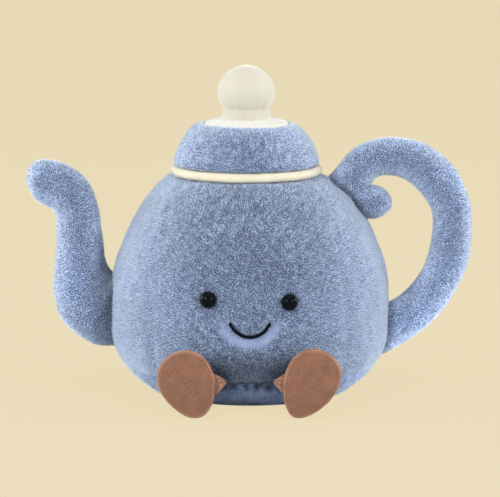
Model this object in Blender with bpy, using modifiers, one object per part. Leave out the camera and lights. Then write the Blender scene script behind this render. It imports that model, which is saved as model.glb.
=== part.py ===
"""Plush teapot: a stuffed pot with a lid, a knob, a spout, a looped handle and two cord feet.

Metres, +Z up. The origin is the centre of the flat base on the floor. The face looks along -Y,
the spout points to -X and the handle to +X. Left and right are as seen from the front.
"""
import math

import bmesh
import bpy
import numpy as np
from mathutils import Vector

# Cloth and clearances
CLOTH = 0.0025            # pile and backing of the blue and cream plush
FOOT_CLOTH = 0.0015       # fine cord fabric of the feet
FIT_GAP = 0.0003          # between sewn pieces
FILL_GAP = 0.0005         # between a cover and its filling
SOCKET_GAP = 0.00035      # round the ends of a leg, which turn

# Body
BASE_RADIUS = 0.0617
BELLY_RADIUS = 0.0893
BELLY_HEIGHT = 0.0560
NECK_RADIUS = 0.0455
NECK_HEIGHT = 0.1388
SEAM_HEIGHT = 0.0210      # where the base panel is sewn to the body cover
BASE_FULLNESS = (3.5, 1.0)
SHOULDER_FULLNESS = (2.0, 1.43)
BODY_SIDES = 32
BODY_ROWS = 10            # rows of the cover above the seam
PANEL_ROWS = 5            # rows of the base panel below it

# Pellet pouch in the base
POUCH_RADIUS = 0.0420
POUCH_THICKNESS = 0.0150
POUCH_SIDES = 24

# Piping, lid and its top
PIPING_RADIUS = 0.0019
LID_RADIUS = 0.0463
LID_RISE = 0.0274         # from the piping to the rim of the top
LID_BULGE_RISE = 0.0028
LID_TUCK = 0.0010
LID_FULLNESS = (1.3, 2.1)
DISC_RADIUS = 0.0265
DISC_THICKNESS = 0.0022
DISC_CROWN = 0.0016

# Knob
KNOB_CLOTH = 0.0015
KNOB_RADIUS = 0.0188
KNOB_HALF_HEIGHT = 0.0172
KNOB_NECK_RADIUS = 0.0150
KNOB_NECK_HEIGHT = 0.0072
KNOB_CREASE = 0.0007
KNOB_SIDES = 24
KNOB_SEAT = 0.0003        # more than the fit gap, since the disc is domed

# Spout, measured out from the belly and from the heights of belly and neck
SPOUT_ROOT_DROP = 0.0055  # middle of the root below the belly
SPOUT_ROOT_RADIUS = 0.0268
SPOUT_NECK_RADIUS = 0.0150
SPOUT_LIP_RADIUS = 0.0154
SPOUT_STANDOFF = 0.0201
SPOUT_TIP_DROP = 0.0045   # middle of the lip below the neck
SPOUT_TIP_REACH = 0.0259
SPOUT_END_ROUNDING = 0.0080

# Handle, measured in the same way
HANDLE_RADIUS = 0.0136
HANDLE_ROOT_RADIUS = 0.0152
HANDLE_REACH = 0.0405
HANDLE_TOP_RISE = 0.0105  # middle of the top above the neck
HANDLE_ROOT_DROP = 0.0165
HANDLE_SHOULDER_DROP = 0.0098
CURL_DROP = 0.0180
CURL_REACH = 0.0236       # how far the curl stands out of the shoulder
CURL_RADIUS = 0.0131
CURL_TUCK = 0.0100        # how far its hidden end reaches into the shoulder
LIMB_BEVEL_STEPS = 5      # gives a tube 14 sides

# Face
EYE_SPACING = 0.0500
EYE_RISE = 0.0148         # above the belly
EYE_RADIUS = 0.0050
EYE_DOME = 0.0047
EYE_EDGE = 0.0007         # thin turned-in edge of the bead
BUTTON_SIDES = 16
SHANK_RADIUS = 0.00125
WASHER_RADIUS = 0.0055
WASHER_THICKNESS = 0.0012
WASHER_SEAT = 0.0008
THREAD_RADIUS = 0.00085
SMILE_WIDTH = 0.0244
SMILE_DEPTH = 0.0091
SMILE_DROP = 0.0070       # lowest point of the smile below the belly

# Legs and feet
LEG_SPACING = 0.0300
LEG_ROOT_LIFT = 0.0020
LEG_ROOT_RADIUS = 0.0048
ANKLE_RADIUS = 0.0056
ANKLE_OUT = 0.0068        # from the leg's root to the ankle, along X
ANKLE_FORWARD = 0.0044
LEG_WAIST_RADIUS = 0.0043
LEG_SIDES = 16
FOOT_SPACING = 0.0764
FOOT_LENGTH = 0.0425
FOOT_WIDTH = 0.0352
FOOT_TAPER = 0.10
FOOT_TILT = math.radians(22)
FOOT_REACH = 0.0081       # sole's rim in front of the ankle
FOOT_FLOOR_GAP = 0.0005
FOOT_DEPTH_PULL = 1.85    # how straight back the upper leaves the sole
FOOT_FLARE = 0.10         # and how far outwards
FOOT_GATHER_PULL = 0.85   # how straight it runs in to the ankle
SOLE_THICKNESS = 0.0016
SOLE_CROWN = 0.0018
FOOT_SIDES = 24
FOOT_ROWS = 7


def clear_scene():
    """Remove every object, so that the script starts from an empty scene."""
    for item in list(bpy.data.objects):
        bpy.data.objects.remove(item, do_unlink=True)


clear_scene()
PARTS = bpy.data.collections.new("plush_teapot")
CUTTERS = bpy.data.collections.new("cutters")
bpy.context.scene.collection.children.link(PARTS)
bpy.context.scene.collection.children.link(CUTTERS)


def linear(red, green, blue):
    """Turn a screen colour from 0 to 255 into Blender's linear colour."""
    def channel(value):
        value /= 255
        return value / 12.92 if value <= 0.04045 else ((value + 0.055) / 1.055) ** 2.4
    return channel(red), channel(green), channel(blue), 1.0


def make_material(name, colour, roughness, metallic=0.0):
    """A plain Principled material."""
    material = bpy.data.materials.new(name)
    material.use_nodes = True
    shader = material.node_tree.nodes["Principled BSDF"]
    shader.inputs["Base Color"].default_value = colour
    shader.inputs["Roughness"].default_value = roughness
    shader.inputs["Metallic"].default_value = metallic
    material.diffuse_color = colour
    return material


BLUE = linear(142, 162, 202)
CREAM = linear(240, 232, 205)
BROWN = linear(155, 110, 88)
BLACK = linear(22, 21, 24)
WHITE = linear(236, 236, 232)
LINEN = linear(214, 205, 186)


# Placing objects

def add_object(name, data, material=None, parent=None):
    """Put mesh or curve data in the scene as one named sub-part."""
    item = bpy.data.objects.new(name, data)
    PARTS.objects.link(item)
    if parent is not None:
        item.parent = parent
    if material is not None:
        data.materials.append(material)
    return item


def adopt(item, name):
    """Name an object that was just made and move it to the parts."""
    item.name = name
    for collection in list(item.users_collection):
        collection.objects.unlink(item)
    PARTS.objects.link(item)
    return item


def make_cutter(item):
    """Move an object to the cutters, which are left out of the model."""
    PARTS.objects.unlink(item)
    CUTTERS.objects.link(item)
    item.hide_render = True
    item.display_type = "WIRE"
    return item


def add_pivot(name, location, parent=None):
    """An empty on a joint's axis. The location is in world space."""
    pivot = bpy.data.objects.new(name, None)
    PARTS.objects.link(pivot)
    pivot.empty_display_size = 0.006
    pivot.location = location
    if parent is not None:
        pivot.parent = parent
        pivot.location = Vector(location) - parent.matrix_world.translation
    bpy.context.view_layer.update()
    return pivot


def cut(item, cutter):
    """Subtract a cutter from a sub-part."""
    modifier = item.modifiers.new("cut_" + cutter.name, "BOOLEAN")
    modifier.operation = "DIFFERENCE"
    modifier.solver = "EXACT"
    modifier.object = cutter
    return item


def smooth_shade(mesh, angle=50):
    """Shade a mesh smooth, apart from edges sharper than the angle."""
    mesh.shade_smooth()
    mesh.set_sharp_from_angle(angle=math.radians(angle))


# Turned pieces

def profile_object(name, profile, material, sides, closed=False):
    """Turn a profile of (radius, height) points round Z. It runs down its outer side."""
    mesh = bpy.data.meshes.new(name)
    vertices = [(radius, 0.0, height) for radius, height in profile]
    edges = [(i, i + 1) for i in range(len(profile) - 1)]
    if closed:
        edges.append((len(profile) - 1, 0))
    mesh.from_pydata(vertices, edges, [])
    item = add_object(name, mesh, material)
    screw = item.modifiers.new("turn", "SCREW")
    screw.axis = "Z"
    screw.steps = sides
    screw.render_steps = sides
    screw.use_merge_vertices = True
    screw.merge_threshold = 0.00001
    screw.use_smooth_shade = True
    return item


def thicken(item, thickness):
    """Give an open surface its cloth thickness, inwards."""
    solidify = item.modifiers.new("cloth", "SOLIDIFY")
    solidify.thickness = thickness
    solidify.offset = -1.0
    solidify.use_even_offset = True
    return item


def offset_profile(profile, distance):
    """Shift a profile along its own normals; a positive distance is outwards."""
    points = np.array(profile, dtype=float)
    along = np.gradient(points, axis=0)
    along /= np.linalg.norm(along, axis=1)[:, None]
    normals = np.stack([-along[:, 1], along[:, 0]], axis=1)
    return [tuple(point) for point in points + distance * normals]


def shifted(points, first_shift, last_shift):
    """Copy an outline with its first and last points moved."""
    points = np.array(points)
    points[0] += first_shift
    points[-1] += last_shift
    return [tuple(point) for point in points]


def body_radius(height):
    """Outer radius of the body: two rounded quadrants that meet at the belly."""
    if height <= BELLY_HEIGHT:
        fall = 1.0 - max(height, 0.0) / BELLY_HEIGHT
        power, root = BASE_FULLNESS
        share = (1.0 - fall ** power) ** (1.0 / root)
        return BASE_RADIUS + (BELLY_RADIUS - BASE_RADIUS) * share
    rise = min((height - BELLY_HEIGHT) / (NECK_HEIGHT - BELLY_HEIGHT), 1.0)
    power, root = SHOULDER_FULLNESS
    share = (1.0 - rise ** power) ** (1.0 / root)
    return NECK_RADIUS + (BELLY_RADIUS - NECK_RADIUS) * share


def body_profile(top, bottom, rows):
    """Points of the body's outline from top to bottom, closer together near the floor."""
    first = math.acos(1.0 - bottom / NECK_HEIGHT)
    last = math.acos(1.0 - top / NECK_HEIGHT)
    angles = np.linspace(last, first, rows)
    heights = NECK_HEIGHT * (1.0 - np.cos(angles))
    return [(body_radius(height), float(height)) for height in heights]


def body_point(across, height, lift=0.0):
    """Point on the front of the body, lifted off it, and the outward normal there."""
    step = 0.0005
    slope = (body_radius(height + step) - body_radius(height - step)) / (2 * step)
    radius = body_radius(height)
    front = -math.sqrt(radius ** 2 - across ** 2)
    normal = Vector((across / radius, front / radius, -slope)).normalized()
    return Vector((across, front, height)) + lift * normal, normal


BODY_BLUE = make_material("blue_plush", BLUE, 0.95)
BODY_CREAM = make_material("cream_plush", CREAM, 0.95)
FILL_WHITE = make_material("white_fibre", WHITE, 1.0)


def whole_outline():
    """The body's outline from the neck to the edge of its flat base."""
    upper = body_profile(NECK_HEIGHT, SEAM_HEIGHT, BODY_ROWS)
    lower = body_profile(SEAM_HEIGHT, 0.0, PANEL_ROWS)
    return upper + lower[1:]


def make_body():
    """Body cover, base panel, the filling and the pellet pouch under it."""
    flat = [(BASE_RADIUS * share, 0.0) for share in (0.5, 0.0)]
    outer = np.array(whole_outline() + flat)
    inner = np.array(offset_profile(outer, -CLOTH))
    inner[-1][0] = 0.0
    seam = BODY_ROWS - 1
    along = outer[seam + 1] - outer[seam - 1]
    along *= FIT_GAP / 2 / np.linalg.norm(along)
    above = [shifted(side[:seam + 1], 0 * along, -along) for side in (outer, inner)]
    below = [shifted(side[seam:], along, 0 * along) for side in (outer, inner)]
    cover = above[0] + above[1][::-1]
    body = profile_object("body_cover", cover, BODY_BLUE, BODY_SIDES, closed=True)
    base_blue = make_material("base_plush", BLUE, 0.95)
    panel_item = profile_object("base_panel", below[1][::-1] + below[0], base_blue, BODY_SIDES)

    flat, middle, half = pouch_section()
    turns = np.linspace(0.0, math.pi, 7)
    pouch = [(0.0, middle + half)] + bulge(flat, middle, half, turns) + [(0.0, middle - half)]
    linen = make_material("pouch_linen", LINEN, 0.9)
    profile_object("pellet_pouch", pouch, linen, POUCH_SIDES)

    floor = CLOTH + FILL_GAP
    outline = offset_profile(outer, -floor)[:len(whole_outline())]
    crown = (outline[0][0], NECK_HEIGHT + PIPING_RADIUS + FIT_GAP - FILL_GAP / 2)
    arc = bulge(flat, middle, half + FILL_GAP, turns[3::-1])
    pocket = [(arc[0][0], floor)] + arc + [(0.0, arc[-1][1])]
    filling = [(0.0, crown[1]), crown] + outline + pocket
    return body, panel_item, profile_object("body_filling", filling, FILL_WHITE, BODY_SIDES)


def pouch_section():
    """Radius of the pouch's flat middle, the height of its centre and half its thickness."""
    half = POUCH_THICKNESS / 2
    return POUCH_RADIUS - half, CLOTH + FIT_GAP + half, half


def bulge(flat, middle, half, turns):
    """Round edge of the pouch, as points from its top down."""
    return [(flat + half * math.sin(turn), middle + half * math.cos(turn)) for turn in turns]


def lid_outline(rows=6):
    """Outer outline of the lid from the rim of its top down to the piping."""
    bottom = NECK_HEIGHT + 2 * (PIPING_RADIUS + FIT_GAP)
    bulge = bottom + LID_BULGE_RISE
    top = bottom + LID_RISE
    edge = DISC_RADIUS + FIT_GAP
    power, root = LID_FULLNESS
    points = []
    for angle in np.linspace(0.0, math.pi / 2, rows):
        rise = math.cos(angle) ** 0.8
        share = (1.0 - rise ** power) ** (1.0 / root)
        points.append((edge + (LID_RADIUS - edge) * share, bulge + (top - bulge) * rise))
    for fall in (0.5, 1.0):
        points.append((LID_RADIUS - LID_TUCK * fall ** 2, bulge - LID_BULGE_RISE * fall))
    return points


def make_lid():
    """Piping in the lid's seam, the lid, its filling and the cream disc on top."""
    piping_height = NECK_HEIGHT + FIT_GAP + PIPING_RADIUS
    bpy.ops.mesh.primitive_torus_add(
        major_radius=NECK_RADIUS + FIT_GAP,
        minor_radius=PIPING_RADIUS,
        major_segments=BODY_SIDES,
        minor_segments=6,
        location=(0, 0, piping_height),
    )
    piping = adopt(bpy.context.active_object, "piping")
    piping.data.materials.append(make_material("piping_cord", CREAM, 0.8))
    smooth_shade(piping.data)

    outline = lid_outline()
    inner = offset_profile(outline, -CLOTH)
    rim = DISC_RADIUS + FIT_GAP
    inner = [(rim, outline[0][1] - CLOTH)] + [point for point in inner[1:] if point[0] > rim]
    profile_object("lid_cover", outline + inner[::-1], BODY_BLUE, BODY_SIDES, closed=True)

    bottom = NECK_HEIGHT + PIPING_RADIUS + FIT_GAP + FILL_GAP / 2
    disc_edge = outline[0][1] - FIT_GAP
    disc_floor = disc_edge - DISC_THICKNESS
    inset = offset_profile(outline, -(CLOTH + FILL_GAP))
    inner = [point for point in inset if point[1] < disc_floor - 2 * FILL_GAP]
    fill_top = disc_floor - FILL_GAP
    filling = [(0.0, fill_top), (min(inner[0][0], DISC_RADIUS) - 0.001, fill_top)] + inner
    filling += [(inner[-1][0], bottom), (0.0, bottom)]
    profile_object("lid_filling", filling, FILL_WHITE, BODY_SIDES)

    disc = [(radius, disc_height(radius)) for radius in np.linspace(0.0, DISC_RADIUS, 4)]
    disc += [(DISC_RADIUS, disc_floor), (0.0, disc_floor)]
    profile_object("lid_top_disc", disc, BODY_CREAM, BODY_SIDES)


def disc_height(radius):
    """Height of the domed disc on the lid, at a distance from its centre."""
    edge = lid_outline()[0][1] - FIT_GAP
    return edge + DISC_CROWN * (1.0 - (radius / DISC_RADIUS) ** 2)


def knob_outline(inset):
    """Outline of the knob from its crown to the foot of its neck, set in by a distance."""
    foot = disc_height(KNOB_NECK_RADIUS) + FIT_GAP + KNOB_SEAT
    crease = foot + KNOB_NECK_HEIGHT
    waist = KNOB_NECK_RADIUS - KNOB_CREASE
    low = math.acos(waist / KNOB_RADIUS)
    centre = crease + KNOB_HALF_HEIGHT * math.sin(low)
    points = []
    for angle in np.linspace(math.pi / 2, -low, 9):
        radius = max(KNOB_RADIUS - inset, 0.0) * math.cos(angle)
        height = centre + (KNOB_HALF_HEIGHT - inset) * math.sin(angle)
        points.append((radius, height))
    for fall in (0.35, 0.7, 1.0):
        swell = KNOB_CREASE * math.sin(fall * math.pi / 2)
        points.append((waist + swell - inset, crease - KNOB_NECK_HEIGHT * fall))
    return points


def make_knob():
    """Cream knob on the lid: a ball on a short neck, with its filling."""
    cream = make_material("knob_cream", CREAM, 0.9)
    outer = knob_outline(0.0)
    inner = knob_outline(KNOB_CLOTH)
    profile_object("knob_cover", outer + inner[::-1], cream, KNOB_SIDES)
    filling = knob_outline(KNOB_CLOTH + FILL_GAP)
    filling.append((0.0, filling[-1][1]))
    profile_object("knob_filling", filling, FILL_WHITE, KNOB_SIDES)


# Stuffed limbs

def smooth_path(stations, steps):
    """Run a smooth curve through stations, given as rows of numbers."""
    rows = np.array(stations, dtype=float)
    rows = np.vstack([2 * rows[0] - rows[1], rows, 2 * rows[-1] - rows[-2]])
    result = []
    for i in range(1, len(rows) - 2):
        before, start, end, after = rows[i - 1:i + 3]
        for share in np.arange(steps) / steps:
            straight = 2 * start + (end - before) * share
            bend = (2 * before - 5 * start + 4 * end - after) * share ** 2
            twist = (3 * start - before - 3 * end + after) * share ** 3
            result.append(0.5 * (straight + bend + twist))
    result.append(rows[-2])
    return np.array(result)


def tube(name, path, material=None):
    """Round tube along rows of (x, z, radius), as a mesh."""
    curve = bpy.data.curves.new(name, "CURVE")
    curve.dimensions = "3D"
    curve.bevel_depth = 1.0
    curve.bevel_resolution = LIMB_BEVEL_STEPS
    curve.use_fill_caps = True
    curve.render_resolution_u = 0
    spline = curve.splines.new("POLY")
    spline.points.add(len(path) - 1)
    for point, (x, z, radius) in zip(spline.points, path):
        point.co = (x, 0.0, z, 1.0)
        point.radius = radius
    guide = add_object(name + "_curve", curve)
    bpy.context.view_layer.update()
    evaluated = guide.evaluated_get(bpy.context.evaluated_depsgraph_get())
    mesh = bpy.data.meshes.new_from_object(evaluated)
    mesh.name = name
    bpy.data.objects.remove(guide, do_unlink=True)
    work = bmesh.new()
    work.from_mesh(mesh)
    bmesh.ops.remove_doubles(work, verts=work.verts, dist=0.00001)
    bmesh.ops.recalc_face_normals(work, faces=work.faces)
    work.to_mesh(mesh)
    work.free()
    smooth_shade(mesh)
    return add_object(name, mesh, material)


def spout_path(inset):
    """Centre line and radius of the spout, from inside the belly up to its round tip."""
    axis = BELLY_RADIUS + SPOUT_STANDOFF
    root = BELLY_HEIGHT - SPOUT_ROOT_DROP
    tip = NECK_HEIGHT - SPOUT_TIP_DROP
    rise = tip - root
    wide = SPOUT_ROOT_RADIUS
    slim = SPOUT_NECK_RADIUS
    stations = [
        (BELLY_RADIUS - 1.24 * SPOUT_STANDOFF, root - 0.0145, 0.86 * wide),
        (BELLY_RADIUS - 0.40 * SPOUT_STANDOFF, root - 0.0060, 0.90 * wide),
        (BELLY_RADIUS + 0.32 * SPOUT_STANDOFF, root + 0.04 * rise, wide),
        (BELLY_RADIUS + 0.78 * SPOUT_STANDOFF, root + 0.18 * rise, 0.62 * wide + 0.38 * slim),
        (axis, root + 0.40 * rise, 0.11 * wide + 0.89 * slim),
        (axis, root + 0.61 * rise, slim + 0.0002),
        (axis + 0.08 * SPOUT_TIP_REACH, root + 0.81 * rise, slim - 0.0002),
        (axis + 0.46 * SPOUT_TIP_REACH, root + 0.96 * rise, slim + 0.0005),
        (axis + SPOUT_TIP_REACH, tip, SPOUT_LIP_RADIUS),
    ]
    rows = smooth_path(stations, 2)
    rows[:, 2] -= inset
    end = rows[-1]
    tip_rows = []
    for angle in np.radians([22, 43, 62, 79]):
        out = end[0] + (SPOUT_END_ROUNDING - inset) * math.sin(angle)
        tip_rows.append((out, end[1], end[2] * math.cos(angle)))
    rows = np.vstack([rows, tip_rows])
    rows[:, 0] *= -1.0
    return rows


def handle_path(inset):
    """Centre line and radius of the handle, from the shoulder over the top to the lower root."""
    shoulder = NECK_HEIGHT - HANDLE_SHOULDER_DROP
    root = BELLY_HEIGHT - HANDLE_ROOT_DROP
    top = NECK_HEIGHT + HANDLE_TOP_RISE
    rise = top - root
    start = body_radius(shoulder)
    reach = HANDLE_REACH
    belly = BELLY_RADIUS
    thick = HANDLE_RADIUS
    stations = [
        (start - 0.012, shoulder - 0.004, thick - 0.002),
        (start + 0.002, shoulder + 0.005, thick + 0.0004),
        (belly - 0.37 * reach, top - 0.0034, thick),
        (belly + 0.06 * reach, top, thick - 0.0004),
        (belly + 0.41 * reach, top - 0.033 * rise, thick + 0.0004),
        (belly + 0.73 * reach, top - 0.130 * rise, thick + 0.0004),
        (belly + 0.96 * reach, top - 0.277 * rise, thick - 0.0001),
        (belly + reach, top - 0.427 * rise, thick - 0.0001),
        (belly + 0.92 * reach, top - 0.618 * rise, thick + 0.0002),
        (belly + 0.76 * reach, top - 0.752 * rise, thick - 0.0002),
        (belly + 0.44 * reach, top - 0.900 * rise, thick + 0.0002),
        (belly + 0.02 * reach, root, HANDLE_ROOT_RADIUS),
        (belly - 0.30 * reach, root - 0.006, HANDLE_ROOT_RADIUS + 0.0005),
    ]
    rows = smooth_path(stations, 2)
    rows[:, 2] -= inset
    return rows


def curl_path(inset):
    """Centre line and radius of the curl, a round nub that stands out of the shoulder."""
    height = NECK_HEIGHT - CURL_DROP
    half = (CURL_REACH + CURL_TUCK) / 2
    centre = body_radius(height) + CURL_REACH - half
    rows = []
    for angle in np.radians(np.linspace(-80, 82, 10)):
        along = centre + (half - inset) * math.sin(angle)
        rows.append((along, height, (CURL_RADIUS - inset) * math.cos(angle)))
    return np.array(rows)


def make_limb(name, path, clearances):
    """Cover and filling of a stuffed limb, cut where it meets the larger pieces."""
    cover = tube(name + "_cover", path(0.0), BODY_BLUE)
    hollow = make_cutter(tube(name + "_hollow", path(CLOTH)))
    filling = tube(name + "_filling", path(CLOTH + FILL_GAP), FILL_WHITE)
    for clearance in clearances:
        cut(cover, clearance)
        cut(filling, clearance)
    cut(cover, hollow)
    return cover, filling


def make_clearances():
    """Body and lid, made a fit gap larger, to cut what is sewn on to them."""
    outline = offset_profile(whole_outline(), FIT_GAP)
    body = [(0.0, NECK_HEIGHT + FIT_GAP)] + outline + [(0.0, -FIT_GAP)]
    body_room = make_cutter(profile_object("body_room", body, None, BODY_SIDES))
    outline = offset_profile(lid_outline(), FIT_GAP)
    ring = NECK_RADIUS + PIPING_RADIUS + 3 * FIT_GAP
    lid = [(0.0, outline[0][1] + FIT_GAP)] + outline
    lid += [(ring, outline[-1][1]), (ring, NECK_HEIGHT - FIT_GAP), (0.0, NECK_HEIGHT - FIT_GAP)]
    lid_room = make_cutter(profile_object("lid_room", lid, None, BODY_SIDES))
    return body_room, lid_room


def make_limbs():
    """Spout, handle and the curl at the handle's upper root."""
    body_room, lid_room = make_clearances()
    make_limb("spout", spout_path, [body_room])
    make_limb("handle", handle_path, [body_room, lid_room])
    handle_room = make_cutter(tube("handle_room", handle_path(-FIT_GAP)))
    make_limb("curl", curl_path, [body_room, handle_room])


# Face

def disc_cutter(name, radius, low, high, location, normal):
    """Short round cutter along a normal, between two distances from the location."""
    bpy.ops.mesh.primitive_cylinder_add(vertices=BUTTON_SIDES, radius=radius, depth=high - low)
    cutter = adopt(bpy.context.active_object, name)
    for vertex in cutter.data.vertices:
        vertex.co.z += (high + low) / 2
    cutter.location = location
    cutter.rotation_euler = normal.to_track_quat("Z", "Y").to_euler()
    return make_cutter(cutter)


def make_eye(side, sign, body, filling):
    """Bead eye with its shank through the cover, and the washer that holds it inside."""
    location, normal = body_point(sign * EYE_SPACING / 2, BELLY_HEIGHT + EYE_RISE)
    turn = normal.to_track_quat("Z", "Y").to_euler()
    washer_top = -CLOTH - WASHER_SEAT
    washer_low = washer_top - WASHER_THICKNESS
    shank_end = washer_low - FIT_GAP
    back = FIT_GAP
    dome = []
    for angle in np.linspace(math.pi / 2, 0.0, 6):
        height = back + EYE_EDGE + EYE_DOME * math.sin(angle)
        dome.append((EYE_RADIUS * math.cos(angle), height))
    dome.append((EYE_RADIUS - EYE_EDGE, back))
    shank = [(SHANK_RADIUS, back), (SHANK_RADIUS, shank_end), (0.0, shank_end)]
    bead = make_material("bead_black_" + side, BLACK, 0.08)
    eye = profile_object("eye_" + side, dome + shank, bead, BUTTON_SIDES)
    bore = SHANK_RADIUS + FIT_GAP
    ring = [(bore, washer_top), (WASHER_RADIUS, washer_top), (WASHER_RADIUS, washer_low)]
    ring += [(bore, washer_low), (bore, washer_top)]
    plastic = make_material("washer_white_" + side, WHITE, 0.5)
    washer = profile_object("eye_washer_" + side, ring, plastic, BUTTON_SIDES)
    for item in (eye, washer):
        item.location = location
        item.rotation_euler = turn
    hole = disc_cutter("shank_hole_" + side, bore, -2 * CLOTH, CLOTH, location, normal)
    pocket = disc_cutter(
        "washer_pocket_" + side, WASHER_RADIUS + FILL_GAP, shank_end - FILL_GAP, 0.0, location, normal)
    cut(body, hole)
    cut(filling, pocket)


def make_smile():
    """Stitched smile: one thread laid along an arc on the front of the body."""
    half = SMILE_WIDTH / 2
    radius = (half ** 2 + SMILE_DEPTH ** 2) / (2 * SMILE_DEPTH)
    sweep = math.atan2(half, radius - SMILE_DEPTH)
    curve = bpy.data.curves.new("smile", "CURVE")
    curve.dimensions = "3D"
    curve.bevel_depth = THREAD_RADIUS
    curve.bevel_resolution = 2
    curve.use_fill_caps = True
    curve.render_resolution_u = 0
    angles = np.linspace(-sweep, sweep, 13)
    spline = curve.splines.new("POLY")
    spline.points.add(len(angles) - 1)
    lowest = BELLY_HEIGHT - SMILE_DROP
    for point, angle in zip(spline.points, angles):
        height = lowest + radius * (1.0 - math.cos(angle))
        place, _ = body_point(radius * math.sin(angle), height, THREAD_RADIUS + FIT_GAP)
        point.co = (*place, 1.0)
    add_object("smile", curve, make_material("thread_black", BLACK, 0.7))


# Legs and feet

def foot_centre(sign, ankle):
    """Centre of the sole's rim. The lowest point of the oval is just off the floor."""
    low = min(foot_outline(1, angle)[1] for angle in np.linspace(0, 2 * math.pi, 180))
    return Vector((sign * FOOT_SPACING / 2, ankle.y - FOOT_REACH, FOOT_FLOOR_GAP - low))


def foot_outline(sign, angle):
    """Egg outline of the sole as (x, z) about its centre, wide end up and outwards."""
    along = FOOT_LENGTH / 2 * math.sin(angle)
    across = FOOT_WIDTH / 2 * math.cos(angle) * (1.0 + FOOT_TAPER * math.sin(angle))
    out = across * math.cos(FOOT_TILT) + along * math.sin(FOOT_TILT)
    up = along * math.cos(FOOT_TILT) - across * math.sin(FOOT_TILT)
    return sign * out, up


def loft(name, rings, material, closed, parent):
    """Skin a row of rings that have the same number of points, in the parent's space."""
    origin = np.array(parent.matrix_world.translation)
    rings = [np.array(ring) - origin for ring in rings]
    count = len(rings[0])
    faces = []
    for row in range(len(rings) - 1):
        for i in range(count):
            j = (i + 1) % count
            low = row * count
            high = low + count
            faces.append((low + i, low + j, high + j, high + i))
    if closed:
        faces.append(tuple(reversed(range(count))))
        faces.append(tuple(range((len(rings) - 1) * count, len(rings) * count)))
    mesh = bpy.data.meshes.new(name)
    mesh.from_pydata([tuple(point) for point in np.vstack(rings)], [], faces)
    work = bmesh.new()
    work.from_mesh(mesh)
    bmesh.ops.recalc_face_normals(work, faces=work.faces)
    work.to_mesh(mesh)
    work.free()
    smooth_shade(mesh)
    return add_object(name, mesh, material, parent=parent)


def upper_rings(sign, ankle, heading):
    """Rings of the foot's upper, where each rib is a cubic from the sole's rim to the ankle."""
    centre = foot_centre(sign, ankle)
    side = Vector((0, 0, 1)).cross(heading).normalized()
    if side.y < 0:
        side = -side
    rings = []
    for share in np.linspace(0.0, 1.0, FOOT_ROWS):
        ring = []
        for angle in np.linspace(0.0, 2 * math.pi, FOOT_SIDES, endpoint=False):
            out, up = foot_outline(sign, angle)
            start = centre + Vector((out, FIT_GAP, up))
            turn = math.atan2(up, sign * out)
            flare = Vector((sign * math.cos(turn), 0.0, math.sin(turn)))
            ring_way = math.cos(turn) * side + math.sin(turn) * Vector((0, 0, 1))
            end = ankle + ANKLE_RADIUS * ring_way
            span = (end - start).length
            leave = (Vector((0, 1, 0)) + FOOT_FLARE * flare) * FOOT_DEPTH_PULL * span
            arrive = heading * FOOT_GATHER_PULL * span
            square = share * share
            cube = square * share
            ring.append(
                (2 * cube - 3 * square + 1) * start + (cube - 2 * square + share) * leave
                + (3 * square - 2 * cube) * end + (cube - square) * arrive)
        rings.append(ring)
    return rings


def inset_rings(rings, distance):
    """Move rings inwards along the normals of the surface that they span."""
    points = np.array(rings)
    around = np.roll(points, -1, axis=1) - np.roll(points, 1, axis=1)
    across = np.gradient(points, axis=0)
    normals = np.cross(around, across)
    normals /= np.linalg.norm(normals, axis=2)[:, :, None]
    outwards = np.sign(np.sum(normals * (points - points.mean(axis=(0, 1))), axis=2).mean())
    return list(points - distance * outwards * normals)


def make_foot(side, sign, body, panel, filling):
    """A gathered leg that turns in the base seam, and the foot that turns on its ankle."""
    root, _ = body_point(sign * LEG_SPACING / 2, SEAM_HEIGHT, LEG_ROOT_LIFT)
    ankle = root + Vector((sign * ANKLE_OUT, -ANKLE_FORWARD, 0.0))
    heading = (root - ankle).normalized()
    leg_pivot = add_pivot("leg_pivot_" + side, root)
    foot_pivot = add_pivot("foot_pivot_" + side, ankle, leg_pivot)
    brown = make_material("brown_cord_" + side, BROWN, 0.9)

    make_leg(side, root, ankle, leg_pivot, brown)
    root_room = ball_cutter("root_room_" + side, LEG_ROOT_RADIUS + SOCKET_GAP, root)
    for item in (body, panel, filling):
        cut(item, root_room)

    rings = upper_rings(sign, ankle, heading)
    ankle_room = ball_cutter("ankle_room_" + side, ANKLE_RADIUS + SOCKET_GAP, ankle)
    upper = loft("foot_upper_" + side, rings, brown, False, foot_pivot)
    thicken(upper, FOOT_CLOTH)
    cut(upper, ankle_room)
    centre = foot_centre(sign, ankle)
    inner_rings = inset_rings(rings, FOOT_CLOTH + FILL_GAP)
    inner_rings[0][:, 1] = centre.y + FILL_GAP
    inside = loft("foot_filling_" + side, inner_rings, FILL_WHITE, True, foot_pivot)
    cut(inside, ankle_room)
    make_sole(side, sign, centre, foot_pivot)


def make_sole(side, sign, centre, pivot):
    """Crowned sole, as rings from the middle of its back round the rim to its middle."""
    steps = [(0.30, 0.0), (0.96, 0.0), (1.0, SOLE_THICKNESS / 3), (0.985, SOLE_THICKNESS)]
    for scale in (0.85, 0.6, 0.3):
        steps.append((scale, SOLE_THICKNESS + SOLE_CROWN * (1.0 - scale ** 2)))
    rings = []
    for scale, depth in steps:
        ring = []
        for angle in np.linspace(0.0, 2 * math.pi, FOOT_SIDES, endpoint=False):
            out, up = foot_outline(sign, angle)
            ring.append(centre + Vector((scale * out, -depth, scale * up)))
        rings.append(ring)
    brown = make_material("brown_sole_" + side, BROWN, 0.9)
    loft("foot_sole_" + side, rings, brown, True, pivot)


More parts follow.
